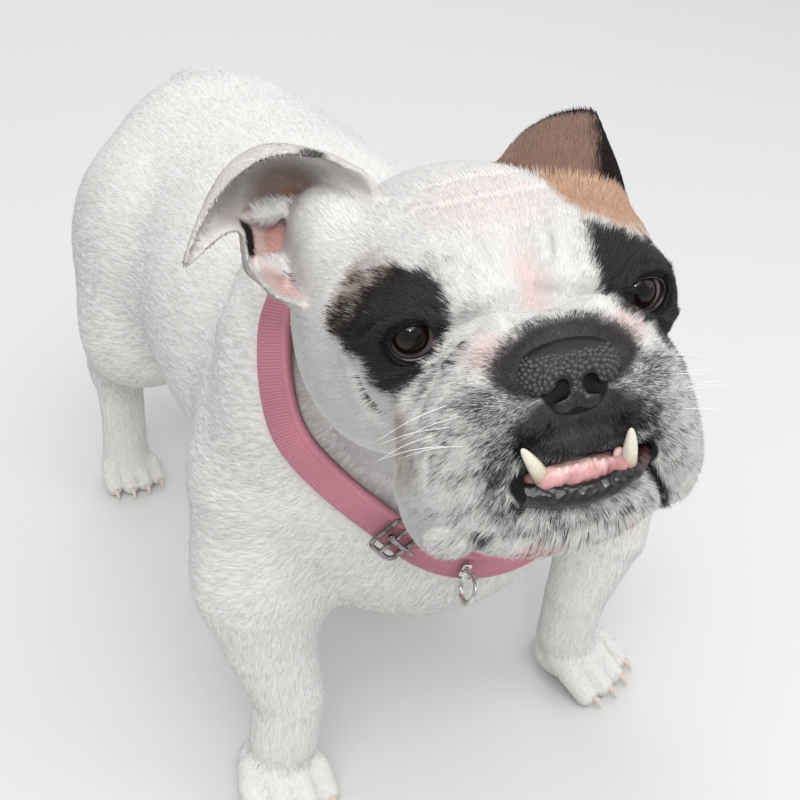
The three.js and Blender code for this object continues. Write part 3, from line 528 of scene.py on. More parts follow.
def split_quads(v, q):
    one = np.linalg.norm(v[q[:, 0]] - v[q[:, 2]], axis=1) < np.linalg.norm(v[q[:, 1]] - v[q[:, 3]], axis=1)
    a, b = q[one], q[~one]
    return np.concatenate([a[:, [0, 1, 2]], a[:, [0, 2, 3]], b[:, [0, 1, 3]], b[:, [1, 2, 3]]])


# Splits every edge whose two ends are chosen, and joins the pieces up with no gaps
def refine(v, t, chosen):
    edges = np.sort(np.concatenate([t[:, [0, 1]], t[:, [1, 2]], t[:, [2, 0]]]), axis=1)
    unique, which = np.unique(edges, axis=0, return_inverse=True)
    cut = chosen[unique].all(1)
    middle = np.full(len(unique), -1)
    middle[cut] = len(v) + np.arange(cut.sum())
    v = np.concatenate([v, v[unique[cut]].mean(1)])
    mid = middle[which.reshape(3, -1).T]
    number = (mid >= 0).sum(1)
    out = [t[number == 0]]
    full, m = t[number == 3], mid[number == 3]
    out += [np.stack([full[:, 0], m[:, 0], m[:, 2]], 1), np.stack([m[:, 0], full[:, 1], m[:, 1]], 1),
            np.stack([m[:, 2], m[:, 1], full[:, 2]], 1), m]
    one, m = t[number == 1], mid[number == 1]
    turn = np.argmax(m >= 0, 1)
    rows = np.arange(len(one))
    a, b, c = (one[rows, (turn + k) % 3] for k in range(3))
    e = m[rows, turn]
    out += [np.stack([a, e, c], 1), np.stack([e, b, c], 1)]
    return v, np.concatenate(out)


def face_vectors(v, t):
    return np.cross(v[t[:, 1]] - v[t[:, 0]], v[t[:, 2]] - v[t[:, 0]])


def vertex_normals(v, t):
    n, face = np.zeros_like(v), face_vectors(v, t)
    for k in range(3):
        np.add.at(n, t[:, k], face)
    return unit(n)


# Colours, in linear light
WHITE = np.array([0.86, 0.85, 0.83])
BLACK = np.array([0.0032, 0.0030, 0.0035])
GREY = np.array([0.036, 0.033, 0.037])
MAUVE = np.array([0.21, 0.12, 0.09])
TAN = np.array([0.46, 0.25, 0.14])
BROWN = np.array([0.20, 0.092, 0.045])
PINK = np.array([0.72, 0.40, 0.37])
LIP = np.array([0.010, 0.0095, 0.0105])


def ripple(p, size):
    q = p / size
    a = np.sin(q[:, 0] * 1.7 + 1.3 * np.sin(q[:, 1] * 1.1 + q[:, 2] * 0.7))
    b = np.sin(q[:, 1] * 1.9 + 1.7 * np.sin(q[:, 2] * 1.3 - q[:, 0] * 0.9))
    c = np.sin(q[:, 2] * 1.6 + 1.1 * np.sin(q[:, 0] * 1.5 + q[:, 1] * 1.2))
    return (a + b + c) / 3


def patch(h, centre, radii, soft, turn=None, rough=0.0):
    q = h - np.array(centre, float)
    if turn is not None:
        q = q @ turn
    far = np.linalg.norm(q / np.array(radii, float), axis=1)
    if rough:
        far = far + rough * ripple(h, 5.0) + rough * 0.6 * ripple(h, 2.2)
    return np.clip(0.5 + (1 - far) / soft, 0, 1)


def most(*masks):
    return np.max(np.stack(masks), 0)


# Signed distance to a closed outline in the plane, negative inside
def outline(x, z, points):
    q = np.stack([x, z], 1)
    far, inside = np.full(len(q), 1e9), np.zeros(len(q), bool)
    for a, b in zip(points, points[1:] + points[:1]):
        a, b = np.array(a, float), np.array(b, float)
        along = b - a
        t = np.clip((q - a) @ along / (along @ along), 0, 1)
        far = np.minimum(far, np.linalg.norm(q - a - t[:, None] * along, axis=1))
        crosses = (a[1] > q[:, 1]) != (b[1] > q[:, 1])
        level = np.where(along[1] == 0, 1e-9, along[1])
        inside ^= crosses & (q[:, 0] < a[0] + along[0] * (q[:, 1] - a[1]) / level)
    return np.where(inside, -far, far)


# Outlines of the markings, seen from the front in the head's own frame, across and up
PATCH_RIGHT = [(-72, 8), (-67, 16), (-57, 27), (-47, 32), (-37, 30.5), (-33, 24), (-31, 17), (-35, 8),
               (-44, -1), (-50, -9), (-56, -15), (-61, -12), (-65, 0), (-70, 2)]
PATCH_LEFT = [(29, 36), (35, 35.5), (47, 28), (57, 24), (66, 16), (80, 10), (80, -24), (52, -20), (46, -9),
              (38, 2), (30, 9), (25, 14), (26, 25)]
BROWN_RIGHT = [(-74, 6), (-69, 17), (-58, 29), (-47, 34), (-45, 30), (-55, 25), (-63, 15), (-67, 6)]
TAN_LEFT = [(28, 50), (31, 44), (30, 38), (38, 34), (48, 29), (58, 25), (68, 17), (76, 12), (84, 20),
            (74, 34), (58, 44), (46, 52)]


def soft_edge(far, soft):
    return np.clip(0.5 - far / soft, 0, 1)


# What grows at each point of the skin: the share of each colour of hair, and where the skin is bare
# of hair or has less of it
def looks(p):
    h = to_head(p)
    names = ("pink", "tan", "mauve", "brown", "grey", "dark", "bare", "bald")
    look = {name: np.zeros(len(p)) for name in names}
    near = np.linalg.norm(h, axis=1) < 175
    q = h[near]
    m = mirrored(q)
    x, y, z = q.T
    wave = 1.6 * ripple(q, 4.0) + 1.0 * ripple(q, 1.7)
    front = y < -22
    off_the_cheek = np.clip(np.maximum((z + 9) / 4, (-42 - y) / 4), 0, 1)
    right = soft_edge(outline(x, z, PATCH_RIGHT) + wave, 5.0) * (front & (x < 0)) * off_the_cheek
    left = soft_edge(outline(x, z, PATCH_LEFT) + wave, 5.0) * (front & (x > 0))
    snout = most(patch(m, (0, -101, -22), (31, 30, 15), 0.45, None, 0.08),
                 0.6 * patch(m, (28, -94, -12), (15, 16, 9), 0.7, None, 0.1),
                 patch(m, (13, -96, 0), (17, 14, 13), 0.45, None, 0.06),
                 patch(m, (0, -92, 6), (22, 14, 9.5), 0.4, None, 0.06))
    mottle = np.clip(0.5 + 0.9 * ripple(q, 3.4) + 0.5 * ripple(q, 1.6), 0, 1)
    salt = 0.4 * patch(m, (24, -88, -34), (42, 44, 48), 0.8) * (0.35 + 0.65 * mottle)
    dusky = 0.85 * patch(m, (21, -99, -38), (19, 22, 22), 0.9, None, 0.1) * (0.6 + 0.4 * mottle)
    above = 0.25 * patch(m, (8, -88, 13), (20, 12, 9), 0.8) * mottle
    between = 0.3 * patch(m, (32, -58, 22), (14, 20, 22), 0.8) * mottle
    chin = 0.55 * patch(m, (0, -98, -60), (40, 24, 12), 0.8, None, 0.15) * (0.5 + 0.5 * mottle)
    chin = most(chin, 0.9 * np.clip((3.2 - chain(m, LOWER_LIP, [5, 5, 5, 4])) / 3.2, 0, 1))
    # Along the creases under the hanging lips the hair and skin are painted dark, as painted shade under the
    # lips, and the hair there is thinned.
    gap = np.min([chain(q, line, radii) for line, radii, soft in CREASES], 0)
    chin = np.maximum(chin, 0.95 * np.clip((2.6 - gap) / 2.5, 0, 1))
    look["bald"][near] = np.clip((1.2 - gap) / 1.0, 0, 1)
    look["dark"][near] = most(right, left, salt, dusky, above, between, chin)
    look["grey"][near] = 0.96 * snout
    brown = soft_edge(outline(x, z, BROWN_RIGHT) + wave, 5.0) * (front & (x < 0))
    under = 0.5 * patch(q, (-59, -68, -30), (5, 14, 16), 0.9)
    look["brown"][near] = most(0.8 * brown, under)
    edge = soft_edge(outline(x, z, TAN_LEFT) + wave, 5.0) * (x > 0) * (y < 16)
    rim = patch(q, (66, -52, -6), (6, 20, 26), 0.5)
    look["tan"][near] = most(0.95 * edge, 0.5 * rim)
    look["pink"][near] = most(0.4 * patch(q, (1, -62, 19), (6, 14, 14), 1.2, None, 0.2),
                              0.25 * patch(m, (8, -25, 46), (16, 22, 14), 0.9),
                              0.4 * patch(m, (26, -90, 6), (9, 12, 6), 0.9),
                              0.7 * patch(q, (-16, -92, -76), (9, 10, 7), 0.5, None, 0.2),
                              0.7 * patch(q, (22, -88, -76), (6, 9, 6), 0.5, None, 0.2))
    around, reach, ahead, far = eye_view(q)
    lid = np.clip((1.8 - (around - reach)) / 1.2, 0, 1) * (ahead > 0) * (far < 30)
    lower = chain(m, LOWER_LIP, [4, 4, 4, 3])
    inside = chain(m, MOUTH, [10, 10, 8, 6]) + 40 * (z > -36.3)
    cleft = np.clip(2.6 - chain(m, [(0, -106, -9), (0, -108, -20), (0, -106, -36)], [1.6, 2.2, 1.2]), 0, 1)
    lips = most(np.clip(1.6 - lower, 0, 1), np.clip(1.0 - inside, 0, 1)) * (y < -60)
    pads = np.clip(1.2 - ball(m, (0, -99, -8), (13, 12, 10.5)), 0, 1)
    look["bare"][near] = most(lid, lips, 0.6 * cleft, pads)
    for name, ear in EARS.items():
        local = ear.near(h)
        if local.any():
            ear_looks(name, ear, h, local, look)
    return {key: np.clip(share, 0, 1) for key, share in look.items()}


def ear_looks(name, ear, h, local, look):
    hp = h[local]
    index, gap = ear.find(hp)
    on = np.clip((6.5 - gap) / 2.0, 0, 1)
    u = ear.u[index] + 0.03 * ripple(hp, 3.0)
    v = ear.v[index] + 0.015 * ripple(hp, 2.4)
    shares = {name: np.zeros(len(hp)) for name in look}
    shades = np.clip(0.5 + 0.5 * ripple(hp, 3.0), 0, 1)
    inner = ((hp - ear.points[index]) * ear.normal[index]).sum(1) < 0.6
    if name == "right":
        # On the right ear the low mauve over the whole flap is its own colour; the strong mauve patch under
        # the arch is painted shade there.
        shares["mauve"] = most(0.12 + 0.14 * shades, 0.85 * patch(hp, (-72, 30, 54), (20, 15, 13), 1.0),
                               0.5 * patch(hp, (-96, 14, 58), (16, 20, 12), 1.0))
        shares["dark"] = most(inner * patch(hp, (-93, 15, 39), (6, 9, 8), 0.3, None, 0.1),
                              0.8 * patch(hp, (-60, 2, 74), (9, 8, 5), 0.5),
                              0.4 * patch(hp, (-59, 6, 48), (7, 8, 8), 0.7, None, 0.2),
                              0.4 * patch(hp, (-69, 10, 39), (8, 8, 8), 0.7, None, 0.2))
        bald = most(patch(hp, (-70, 32, 46), (7, 8, 8), 0.4), patch(hp, (-78, 29, 33), (9, 10, 8), 0.4))
        shares["bald"] = bald
        flesh = 0.7 * np.clip((u - 0.5) * 5, 0, 1) * np.clip((1.0 - v) * 2, 0, 1)
        shares["pink"] = most(flesh, bald) * inner
    else:
        outer = np.clip((u - 0.5) * 9 + 0.5, 0, 1)
        shares["mauve"] = np.ones(len(hp))
        shares["dark"] = most(0.97 * outer, np.clip((v - 0.9) * 14, 0, 1))
        shares["tan"] = 0.5 * (1 - outer) * np.clip((0.3 - v) * 8, 0, 1)
    clear = 1 - on
    for key in look:
        look[key][local] = look[key][local] * clear + shares[key] * on


LAYERS = (("pink", PINK), ("tan", TAN), ("mauve", MAUVE), ("brown", BROWN), ("grey", GREY), ("dark", BLACK))


def base_colour(look):
    # The skin's white is a little darker than the hair's, as painted shade under the coat.
    colour = np.tile(WHITE * 0.93, (len(look["dark"]), 1))
    for name, tint in LAYERS:
        colour = colour + (tint - colour) * (look[name] ** 1.2)[:, None]
    return colour + (LIP - colour) * look["bare"][:, None]


# Where the solids' frame lies, measured on one solid
SHIFT = np.array([tuple(corner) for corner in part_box("eye_left")]).mean(0) / MM - from_head(EYE)


def note(obj, name, kind, field, values):
    layer = obj.data.attributes.new(name, kind, "POINT")
    layer.data.foreach_set(field, np.asarray(values, np.float32).ravel())


# Makes a piece from millimetre points in the dog's frame, with its finish, replaced nodes and tints
def piece(name, verts, tris, finish, slot, replaced=(), tints=None):
    mesh = bpy.data.meshes.new(name)
    count = len(tris)
    mesh.vertices.add(len(verts))
    mesh.vertices.foreach_set("co", ((verts + SHIFT) * MM).astype(np.float32).ravel())
    mesh.loops.add(count * 3)
    mesh.loops.foreach_set("vertex_index", tris.astype(np.int32).ravel())
    mesh.polygons.add(count)
    mesh.polygons.foreach_set("loop_start", np.arange(0, count * 3, 3, dtype=np.int32))
    mesh.polygons.foreach_set("use_smooth", np.full(count, True))
    mesh.update(calc_edges=True)
    mesh.materials.append(finish)
    obj = bpy.data.objects.new(name, mesh)
    bpy.context.scene.collection.objects.link(obj)
    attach(obj, "root")
    if tints is not None:
        note(obj, "tint", "FLOAT_COLOR", "color", np.column_stack([tints, np.ones(len(tints))]))
    if replaced:
        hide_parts(*replaced)
    return obj


# Material building
class Nodes:
    def __init__(self, name):
        self.material = bpy.data.materials.new(name)
        self.material.use_nodes = True
        self.tree = self.material.node_tree
        self.shader = self.tree.nodes["Principled BSDF"]

    def add(self, kind, **settings):
        node = self.tree.nodes.new(kind)
        for key, value in settings.items():
            if key in node.inputs:
                node.inputs[key].default_value = value
            else:
                setattr(node, key, value)
        return node

    def link(self, out, into):
        self.tree.links.new(out, self.shader.inputs[into] if isinstance(into, str) else into)

    def set(self, **values):
        for key, value in values.items():
            self.shader.inputs[key.replace("_", " ")].default_value = value

    def attribute(self, name, output):
        return self.add("ShaderNodeAttribute", attribute_name=name).outputs[output]

    def noise(self, scale, detail, vector=None):
        node = self.add("ShaderNodeTexNoise", Scale=scale, Detail=detail)
        if vector is None:
            vector = self.add("ShaderNodeTexCoord").outputs["Object"]
        self.link(vector, node.inputs["Vector"])
        return node.outputs[0]

    def mix(self, a, b, factor, mode="MIX"):
        node = self.add("ShaderNodeMix", data_type="RGBA", blend_type=mode)
        for value, socket in ((factor, node.inputs[0]), (a, node.inputs[6]), (b, node.inputs[7])):
            if hasattr(value, "is_output"):
                self.link(value, socket)
            else:
                socket.default_value = value if socket == node.inputs[0] else (*value, 1)
        return node.outputs[2]

    def ramp(self, value, *stops):
        node = self.add("ShaderNodeValToRGB")
        for element, (place, colour) in zip(node.color_ramp.elements, stops):
            element.position = place
            element.color = (*colour, 1)
        self.link(value, node.inputs[0])
        return node.outputs[0]

    def roughness(self, value, low, high, ends=(0.3, 0.7)):
        self.link(self.ramp(value, (ends[0], (low,) * 3), (ends[1], (high,) * 3)), "Roughness")

    def bump(self, height, strength, distance):
        node = self.add("ShaderNodeBump", Strength=strength, Distance=distance)
        self.link(height, node.inputs["Height"])
        self.link(node.outputs[0], self.shader.inputs["Normal"])


def skin_material():
    n = Nodes("skin")
    tint, comb = n.attribute("tint", "Color"), n.attribute("comb", "Vector")
    hairs, locks = n.noise(1.0, 3, comb), n.noise(0.22, 2, comb)
    streak = n.ramp(hairs, (0.36, (0.80, 0.79, 0.78)), (0.62, (1, 1, 1)))
    shade = n.ramp(locks, (0.35, (0.90, 0.89, 0.88)), (0.65, (1, 1, 1)))
    colour = n.mix(n.mix(tint, streak, 0.75, "MULTIPLY"), shade, 0.8, "MULTIPLY")
    bare = n.attribute("bare", "Fac")
    n.link(n.mix(colour, tint, bare), "Base Color")
    n.roughness(bare, 0.62, 0.22, (0.0, 1.0))
    n.set(Specular_IOR_Level=0.08)
    n.bump(hairs, 0.4, 0.0005)
    return n.material


# A finish that takes its colour from the mesh. One noise dims it, and it or another spreads the roughness.
def finish_of(name, grain, dim, share, rough, bump=None, gloss=None, **fixed):
    n = Nodes(name)
    fine = n.noise(*grain)
    shade = n.ramp(fine, (0.3, dim), (0.7, (1, 1, 1)))
    n.link(n.mix(n.attribute("tint", "Color"), shade, share, "MULTIPLY"), "Base Color")
    n.roughness(n.noise(*gloss) if gloss else fine, *rough)
    if bump:
        n.bump(fine, *bump)
    n.set(**fixed)
    return n.material


# The skin
sv, st = nets(lambda p: skin(p, EAR_PLUMP), SKIN_LOW, SKIN_HIGH, SKIN_STEP)
sv = settle(skin, sv, 2)
sv, st = refine(sv, st, np.linalg.norm(to_head(sv) * np.array([1.0, 0.9, 1.0]), axis=1) < FACE_FAR)
sh = to_head(sv)
again = np.linalg.norm(sh, axis=1) < HEAD_FAR
sv[again] = settle(skin, sv[again], 2)
finest = (sh[:, 1] < -38) & (np.abs(sh[:, 0]) < 76) & (sh[:, 2] > -62) & (sh[:, 2] < 34) & again
sv, st = refine(sv, st, finest)
sh = to_head(sv)
finest = (sh[:, 1] < -36) & (np.linalg.norm(sh, axis=1) < 140) & (sh[:, 2] > -64) & (sh[:, 2] < 36)
sv[finest] = settle(skin, sv[finest], 1)
sn = vertex_normals(sv, st)
skin_look = looks(sv)


# Places along the lie of the coat: two go across it and the third along it, so that streaks follow the hair
def comb_of(p):
    h = to_head(p) - HAIR_FROM
    reach = np.linalg.norm(to_head(p), axis=1)
    turn = np.arctan2(h[:, 2], h[:, 0])
    comb = np.stack([55 * np.cos(turn), 55 * np.sin(turn), 0.14 * np.linalg.norm(h, axis=1)], 1)
    around = np.arctan2(p[:, 0], p[:, 2] - 205)
    trunk_comb = np.stack([95 * np.cos(around), 95 * np.sin(around), 0.12 * p[:, 1]], 1)
    leg_comb = np.stack([p[:, 0], p[:, 1], 0.12 * p[:, 2]], 1)
    on_body = (reach > 130)[:, None]
    on_leg = (p[:, 2] < 140)[:, None]
    return np.where(on_body, np.where(on_leg, leg_comb, trunk_comb), comb) / HAIR


FLESH = ["torso", "tail", "neck", "head", "lower_jaw", "ear_right", "ear_left"]
LIMBS = ("foreleg", "hindleg", "forepaw", "hindpaw")
FLESH += [f"{kind}_{side}" for kind in LIMBS for side in ("right", "left")]
skin_piece = piece("skin", sv, st, skin_material(), "coat", FLESH, base_colour(skin_look))
note(skin_piece, "bare", "FLOAT", "value", skin_look["bare"])
note(skin_piece, "comb", "FLOAT_VECTOR", "vector", comb_of(sv))


# The collar's middle line and its directions
COLLAR_UP = unit(np.array([0, -COLLAR_SLOPE, 1.0]))
COLLAR_BACK = np.cross(COLLAR_UP, [1, 0, 0])
COLLAR_MIDDLE = np.array([COLLAR_AXIS[0], COLLAR_AXIS[1], COLLAR_Z + COLLAR_SLOPE * COLLAR_AXIS[1]])


def on_neck(angles):
    out = np.cos(angles)[:, None] * np.array([1.0, 0, 0]) + np.sin(angles)[:, None] * COLLAR_BACK
    r = np.full(len(angles), 60.0)
    for _ in range(60):
        r += 0.8 * (COLLAR_CLEAR - trunk(COLLAR_MIDDLE + out * r[:, None]))
    return COLLAR_MIDDLE + out * r[:, None]


def strap(angles):
    middle = on_neck(angles)
    out = unit(slope(trunk, middle, 0.5))
    along = unit(on_neck(angles + 0.02) - on_neck(angles - 0.02))
    across = unit(np.cross(out, along))
    across *= np.sign(across @ COLLAR_UP)[:, None]
    return middle, out, along, across


# The lie of the coat
def lie(p, n):
    h = to_head(p)
    reach = np.linalg.norm(h, axis=1)
    headward = np.clip((150 - reach) / 40, 0, 1)
    on_head = unit(h - HAIR_FROM + np.array([0, 12, 0])) @ HEAD_TURN.T
    down = np.zeros_like(p)
    back = np.clip((p[:, 2] - 120) / 60, 0, 1)
    down[:, 1] = 0.15 + 0.85 * back
    down[:, 2] = -1 + 0.75 * back
    chest = np.clip((-p[:, 1] - 110) / 40, 0, 1) * (1 - headward)
    down[:, 2] -= chest * 0.9
    down[:, 1] *= 1 - 0.6 * chest
    down[:, 0] += 0.3 * np.sign(p[:, 0]) * chest
    flow = down * (1 - headward)[:, None] + on_head * headward[:, None]
    for ear in EARS.values():
        local = ear.near(h)
        if local.any():
            index, gap = ear.find(h[local])
            share = np.clip((6 - gap) / 3, 0, 1)[:, None]
            flow[local] = flow[local] * (1 - share) + (ear.out[index] @ HEAD_TURN.T) * share
    flow = flow - (flow * n).sum(1, keepdims=True) * n
    return unit(flow)


# Roots spread at random over the chosen triangles, so many to a square millimetre
def roots_on(chosen, density):
    t = st[chosen]
    area = np.linalg.norm(face_vectors(sv, t), axis=1) / 2
    number = (area * density + RNG.random(len(t))).astype(int)
    which = np.repeat(np.arange(len(t)), number)
    a, b = RNG.random((2, len(which)))
    turned = a + b > 1
    a[turned], b[turned] = 1 - a[turned], 1 - b[turned]
    w = np.stack([1 - a - b, a, b], 1)[:, :, None]
    corner = t[which]
    return (sv[corner] * w).sum(1), unit((sn[corner] * w).sum(1))


skin_tree = BVHTree.FromPolygons(sv.tolist(), st.tolist())


# A straight tuft that would run into the side of a fold has its tip raised onto the skin there
def raise_tips(tip, n, height):
    found = [skin_tree.find_nearest(point) for point in tip.tolist()]
    spot = np.array([tuple(hit[0]) for hit in found])
    facing = np.array([tuple(hit[1]) for hit in found])
    sunk = (((tip - spot) * facing).sum(1) < height) & ((facing * n).sum(1) > 0.3)
    return np.where(sunk[:, None], spot + facing * height[:, None], tip)


# Colours that a tuft takes in its place's own share. Of the others it mostly takes the whole or nothing.
EVEN_TINTS = ("pink", "mauve", "tan", "brown")
# A tuft's four corners are the root's two, the crest and the tip
TUFT_FACES = ((0, 3, 2), (2, 3, 1), (0, 1, 3), (0, 2, 1))
coat = finish_of("coat", (60, 2), (0.96, 0.955, 0.95), 0.7, (0.42, 0.6), gloss=(2500, 2),
                 Specular_IOR_Level=0.08)


# One piece of coat. Each tuft is a flat pyramid, shorter by the nose and on the feet, fuller on the chin.
def tufts(name, chosen, density, long, wide, lift, waver, unwrap):
    p, n = roots_on(chosen, density)
    q = to_head(p)
    near_nose = np.linalg.norm((q - np.array([0, -98, -8])) / 30, axis=1)
    chin = np.clip((-50 - q[:, 2]) / 6, 0, 1) * (np.abs(q[:, 0]) < 44) * (q[:, 1] < -62)
    scale = np.clip(near_nose * 0.55, 0.45, 1.0) * (1 - chin) + chin
    scale = scale * np.clip(0.45 + p[:, 2] / 90, 0, 1)
    flow, look = lie(p, n), looks(p)
    side = np.cross(flow, n)
    turn = RNG.normal(0, waver, len(p)) + waver * 1.2 * ripple(p, 9.0)
    flow = unit(flow * np.cos(turn)[:, None] + side * np.sin(turn)[:, None])
    side = np.cross(flow, n)
    kept = RNG.random(len(p)) > np.maximum(look["bare"] * 1.6, look["bald"] * 0.85)
    p, n, flow, side, scale, chin = (x[kept] for x in (p, n, flow, side, scale, chin))
    look = {key: share[kept] for key, share in look.items()}
    count = len(p)
    long = long * scale * RNG.uniform(0.7, 1.25, count)
    half = (wide * RNG.uniform(0.75, 1.3, count))[:, None] / 2
    lift = lift * (1 + 0.8 * chin) * RNG.uniform(0.4, 1.6, count)
    root = p - n * 0.3
    height = long * np.sin(lift)
    tip = raise_tips(p + flow * (long * np.cos(lift))[:, None] + n * height[:, None], n, height)
    crest = p + n * (0.08 + half * 0.4) + flow * (long * 0.12)[:, None]
    verts = np.stack([root + side * half, root - side * half, crest, tip], 1)
    verts[:, :, 2] = np.maximum(verts[:, :, 2], 0.4)
    start = (np.arange(count) * 4)[:, None]
    faces = np.concatenate([start + np.array(corners) for corners in TUFT_FACES])
    colour = np.tile(WHITE, (count, 1)) * (1 + waver * RNG.uniform(-0.6, 0.6, count))[:, None]
    tip_colour = colour.copy()
    for layer, tint in LAYERS:
        taken = np.clip((look[layer] * 1.5 - RNG.random(count)) / 0.5, 0, 1)[:, None]
        if layer in EVEN_TINTS:
            taken = look[layer][:, None] * 0.95
        own = tint * RNG.uniform(0.7, 1.4, count)[:, None]
        colour = colour + (own - colour) * taken
        tip_colour = tip_colour + (own * 1.3 - tip_colour) * taken * 0.92
    # Roots are darker: in the dark and grey places because those hairs have dark roots, and everywhere a
    # little, by the waver, as painted shade down in the coat.
    dusk = np.clip(1.8 * most(look["dark"], look["grey"]), 0, 1)
    root_colour = colour * (1 - 0.62 * dusk)[:, None] * (1 - 0.7 * waver)
    shades = np.clip(np.stack([root_colour, root_colour, colour, tip_colour], 1), 0, 1)
    obj = piece(name, verts.reshape(-1, 3), faces, coat, "coat", (), shades.reshape(-1, 3))
    spread = side * min(0.35, waver * 3)
    normals = np.stack([n + spread, n - spread, n, n + flow * 0.15], 1).reshape(-1, 3)
    obj.data.normals_split_custom_set_from_vertices(unit(normals).tolist())
    place = np.array([[0.0013, 0], [-0.0013, 0], [0, 0.0006], [0, 0.0026]])
    spot = unwrap(p)[:, None, :] * 0.99 + 0.005 + place
    layer = obj.data.uv_layers.new(name="OFBake")
    layer.data.foreach_set("uv", spot.reshape(-1, 2)[faces.ravel()].astype(np.float32).ravel())


# Unwraps of the skin's own shape: round the head's middle, and round the body's or a leg's length
def round_head(p):
    h = to_head(p) - np.array([0, -10, -10])
    turn = np.arctan2(h[:, 0], -h[:, 1]) / (2 * np.pi) + 0.5
    rise = np.arctan2(h[:, 2], np.hypot(h[:, 0], h[:, 1])) / np.pi + 0.5
    return np.stack([turn, rise], 1)


def round_body(p):
    turn = np.arctan2(p[:, 0], p[:, 2] - 225) / (2 * np.pi) + 0.5
    return np.stack([turn, np.clip((p[:, 1] + 300) / 600, 0, 1)], 1)


def round_leg(p):
    corner = (p[:, 0] > 0) * 0.5 + (p[:, 1] > 60) * 0.25
    cx = np.sign(p[:, 0]) * np.where(p[:, 1] > 60, 72, 102)
    cy = np.where(p[:, 1] > 60, 222, -92)
    turn = np.arctan2(p[:, 0] - cx, p[:, 1] - cy) / (2 * np.pi) + 0.5
    return np.stack([corner + turn * 0.24, np.clip(p[:, 2] / 200, 0, 1)], 1)


# The coat's zones, by the middles of the skin's triangles
middle = sv[st].mean(1)
mh = to_head(middle)
facing = unit(face_vectors(sv, st)) @ HEAD_TURN
ear_zone, ear_rim = np.zeros((2, len(st)), bool)
for ear in EARS.values():
    local = np.nonzero(ear.near(mh))[0]
    index, gap = ear.find(mh[local])
    on = gap < 6
    ear_zone[local[on]] = True
    ear_rim[local[on & (np.abs((ear.out[index] * facing[local]).sum(1)) > 0.55)]] = True
head_zone = (np.linalg.norm(mh, axis=1) < 118) & ~ear_zone & (mh[:, 1] < 60)
strap_middle, _, _, strap_across = strap(np.arange(240) * np.pi / 120)
strap_tree = tree_of(strap_middle)
under_strap = np.zeros(len(st), bool)
for i in np.nonzero(np.abs((middle - COLLAR_MIDDLE) @ COLLAR_UP) < 40)[0]:
    _, index, gap = strap_tree.find(middle[i])
    beside = abs((middle[i] - strap_middle[index]) @ strap_across[index])
    under_strap[i] = beside < COLLAR_WIDTH / 2 + 0.5 and gap < 14
leg_zone = ~head_zone & ~ear_zone & (middle[:, 2] < 150)
rest = ~head_zone & ~ear_zone & ~leg_zone & ~under_strap
face = head_zone & (mh[:, 1] < -45)
low, y = mh[:, 2] < 4, middle[:, 1]
# Each zone: where it is, its tufts to a square millimetre, their length, width, lift, waver and unwrap
HEAD_ZONES = [
    ("coat_muzzle", face & low, 4.7, 4.6, 0.28, 0.15, 0.11, round_head),
    ("coat_brow", face & ~low, 5.0, 4.6, 0.28, 0.12, 0.11, round_head),
    ("coat_head", head_zone & ~face, 1.7, 6.0, 0.45, 0.08, 0.08, round_head),
]
SIDES = (("right", mh[:, 0] < 0), ("left", mh[:, 0] >= 0))
ZONES = [(f"{name}_{side}", where & half, *shape)
         for name, where, *shape in HEAD_ZONES for side, half in SIDES]
ZONES += [
    ("coat_ears", ear_zone & ~ear_rim, 2.7, 3.0, 0.3, 0.05, 0.07, round_head),
    ("coat_neck_chest", rest & (y < -60), 0.2, 9.0, 0.5, 0.03, 0.04, round_body),
    ("coat_middle", rest & (y >= -60) & (y < 110), 0.16, 10.0, 0.5, 0.028, 0.04, round_body),
    ("coat_rump", rest & (y >= 110), 0.16, 10.0, 0.5, 0.028, 0.04, round_body),
    ("coat_legs", leg_zone & (middle[:, 2] >= 1.5), 0.26, 7.0, 0.45, 0.035, 0.05, round_leg),
]
for name, where, density, *shape in ZONES:
    tufts(name, where, density * (1.0), *shape)


# Parts of meshes: rings of points joined up, tubes along lines, and many tubes in one piece
def joined(rings, closed):
    count, sides = rings.shape[:2]
    verts = rings.reshape(-1, 3)
    rows = count if closed else count - 1
    i, k = np.meshgrid(np.arange(rows), np.arange(sides), indexing="ij")
    i, k = i.ravel(), k.ravel()
    a, b = i * sides + k, i * sides + (k + 1) % sides
    c, d = ((i + 1) % count) * sides + (k + 1) % sides, ((i + 1) % count) * sides + k
    tris = [np.stack([a, b, c], 1), np.stack([a, c, d], 1)]
    if not closed:
        first, last, end = len(verts), len(verts) + 1, (count - 1) * sides
        verts = np.concatenate([verts, [rings[0].mean(0), rings[-1].mean(0)]])
        k = np.arange(sides)
        tris.append(np.stack([np.full(sides, first), (k + 1) % sides, k], 1))
        tris.append(np.stack([np.full(sides, last), end + k, end + (k + 1) % sides], 1))
    return verts, np.concatenate(tris)


def tube(points, radii, sides=10, closed=False, up=(0.0, 0.0, 1.0)):
    points = np.array(points, float)
    radii = np.broadcast_to(np.asarray(radii, float), (len(points),))
    ahead = np.roll(points, -1, 0) - np.roll(points, 1, 0)
    if not closed:
        ahead[0], ahead[-1] = points[1] - points[0], points[-1] - points[-2]
    ahead = unit(ahead)
    side = unit(np.cross(ahead, np.array(up, float)))
    over = np.cross(side, ahead)
    angle = np.arange(sides) * 2 * np.pi / sides
    ring = np.cos(angle)[None, :, None] * side[:, None] + np.sin(angle)[None, :, None] * over[:, None]
    return joined(points[:, None] + ring * radii[:, None, None], closed)


def gather(meshes):
    verts, tris, base = [], [], 0
    for v, t in meshes:
        verts.append(v)
        tris.append(t + base)
        base += len(v)
    return np.concatenate(verts), np.concatenate(tris)


# A shape of the head's left side, set on that side or mirrored onto the right
def on_side(sign, v, t):
    return from_head(v * [sign, 1, 1]), t if sign > 0 else t[:, ::-1]


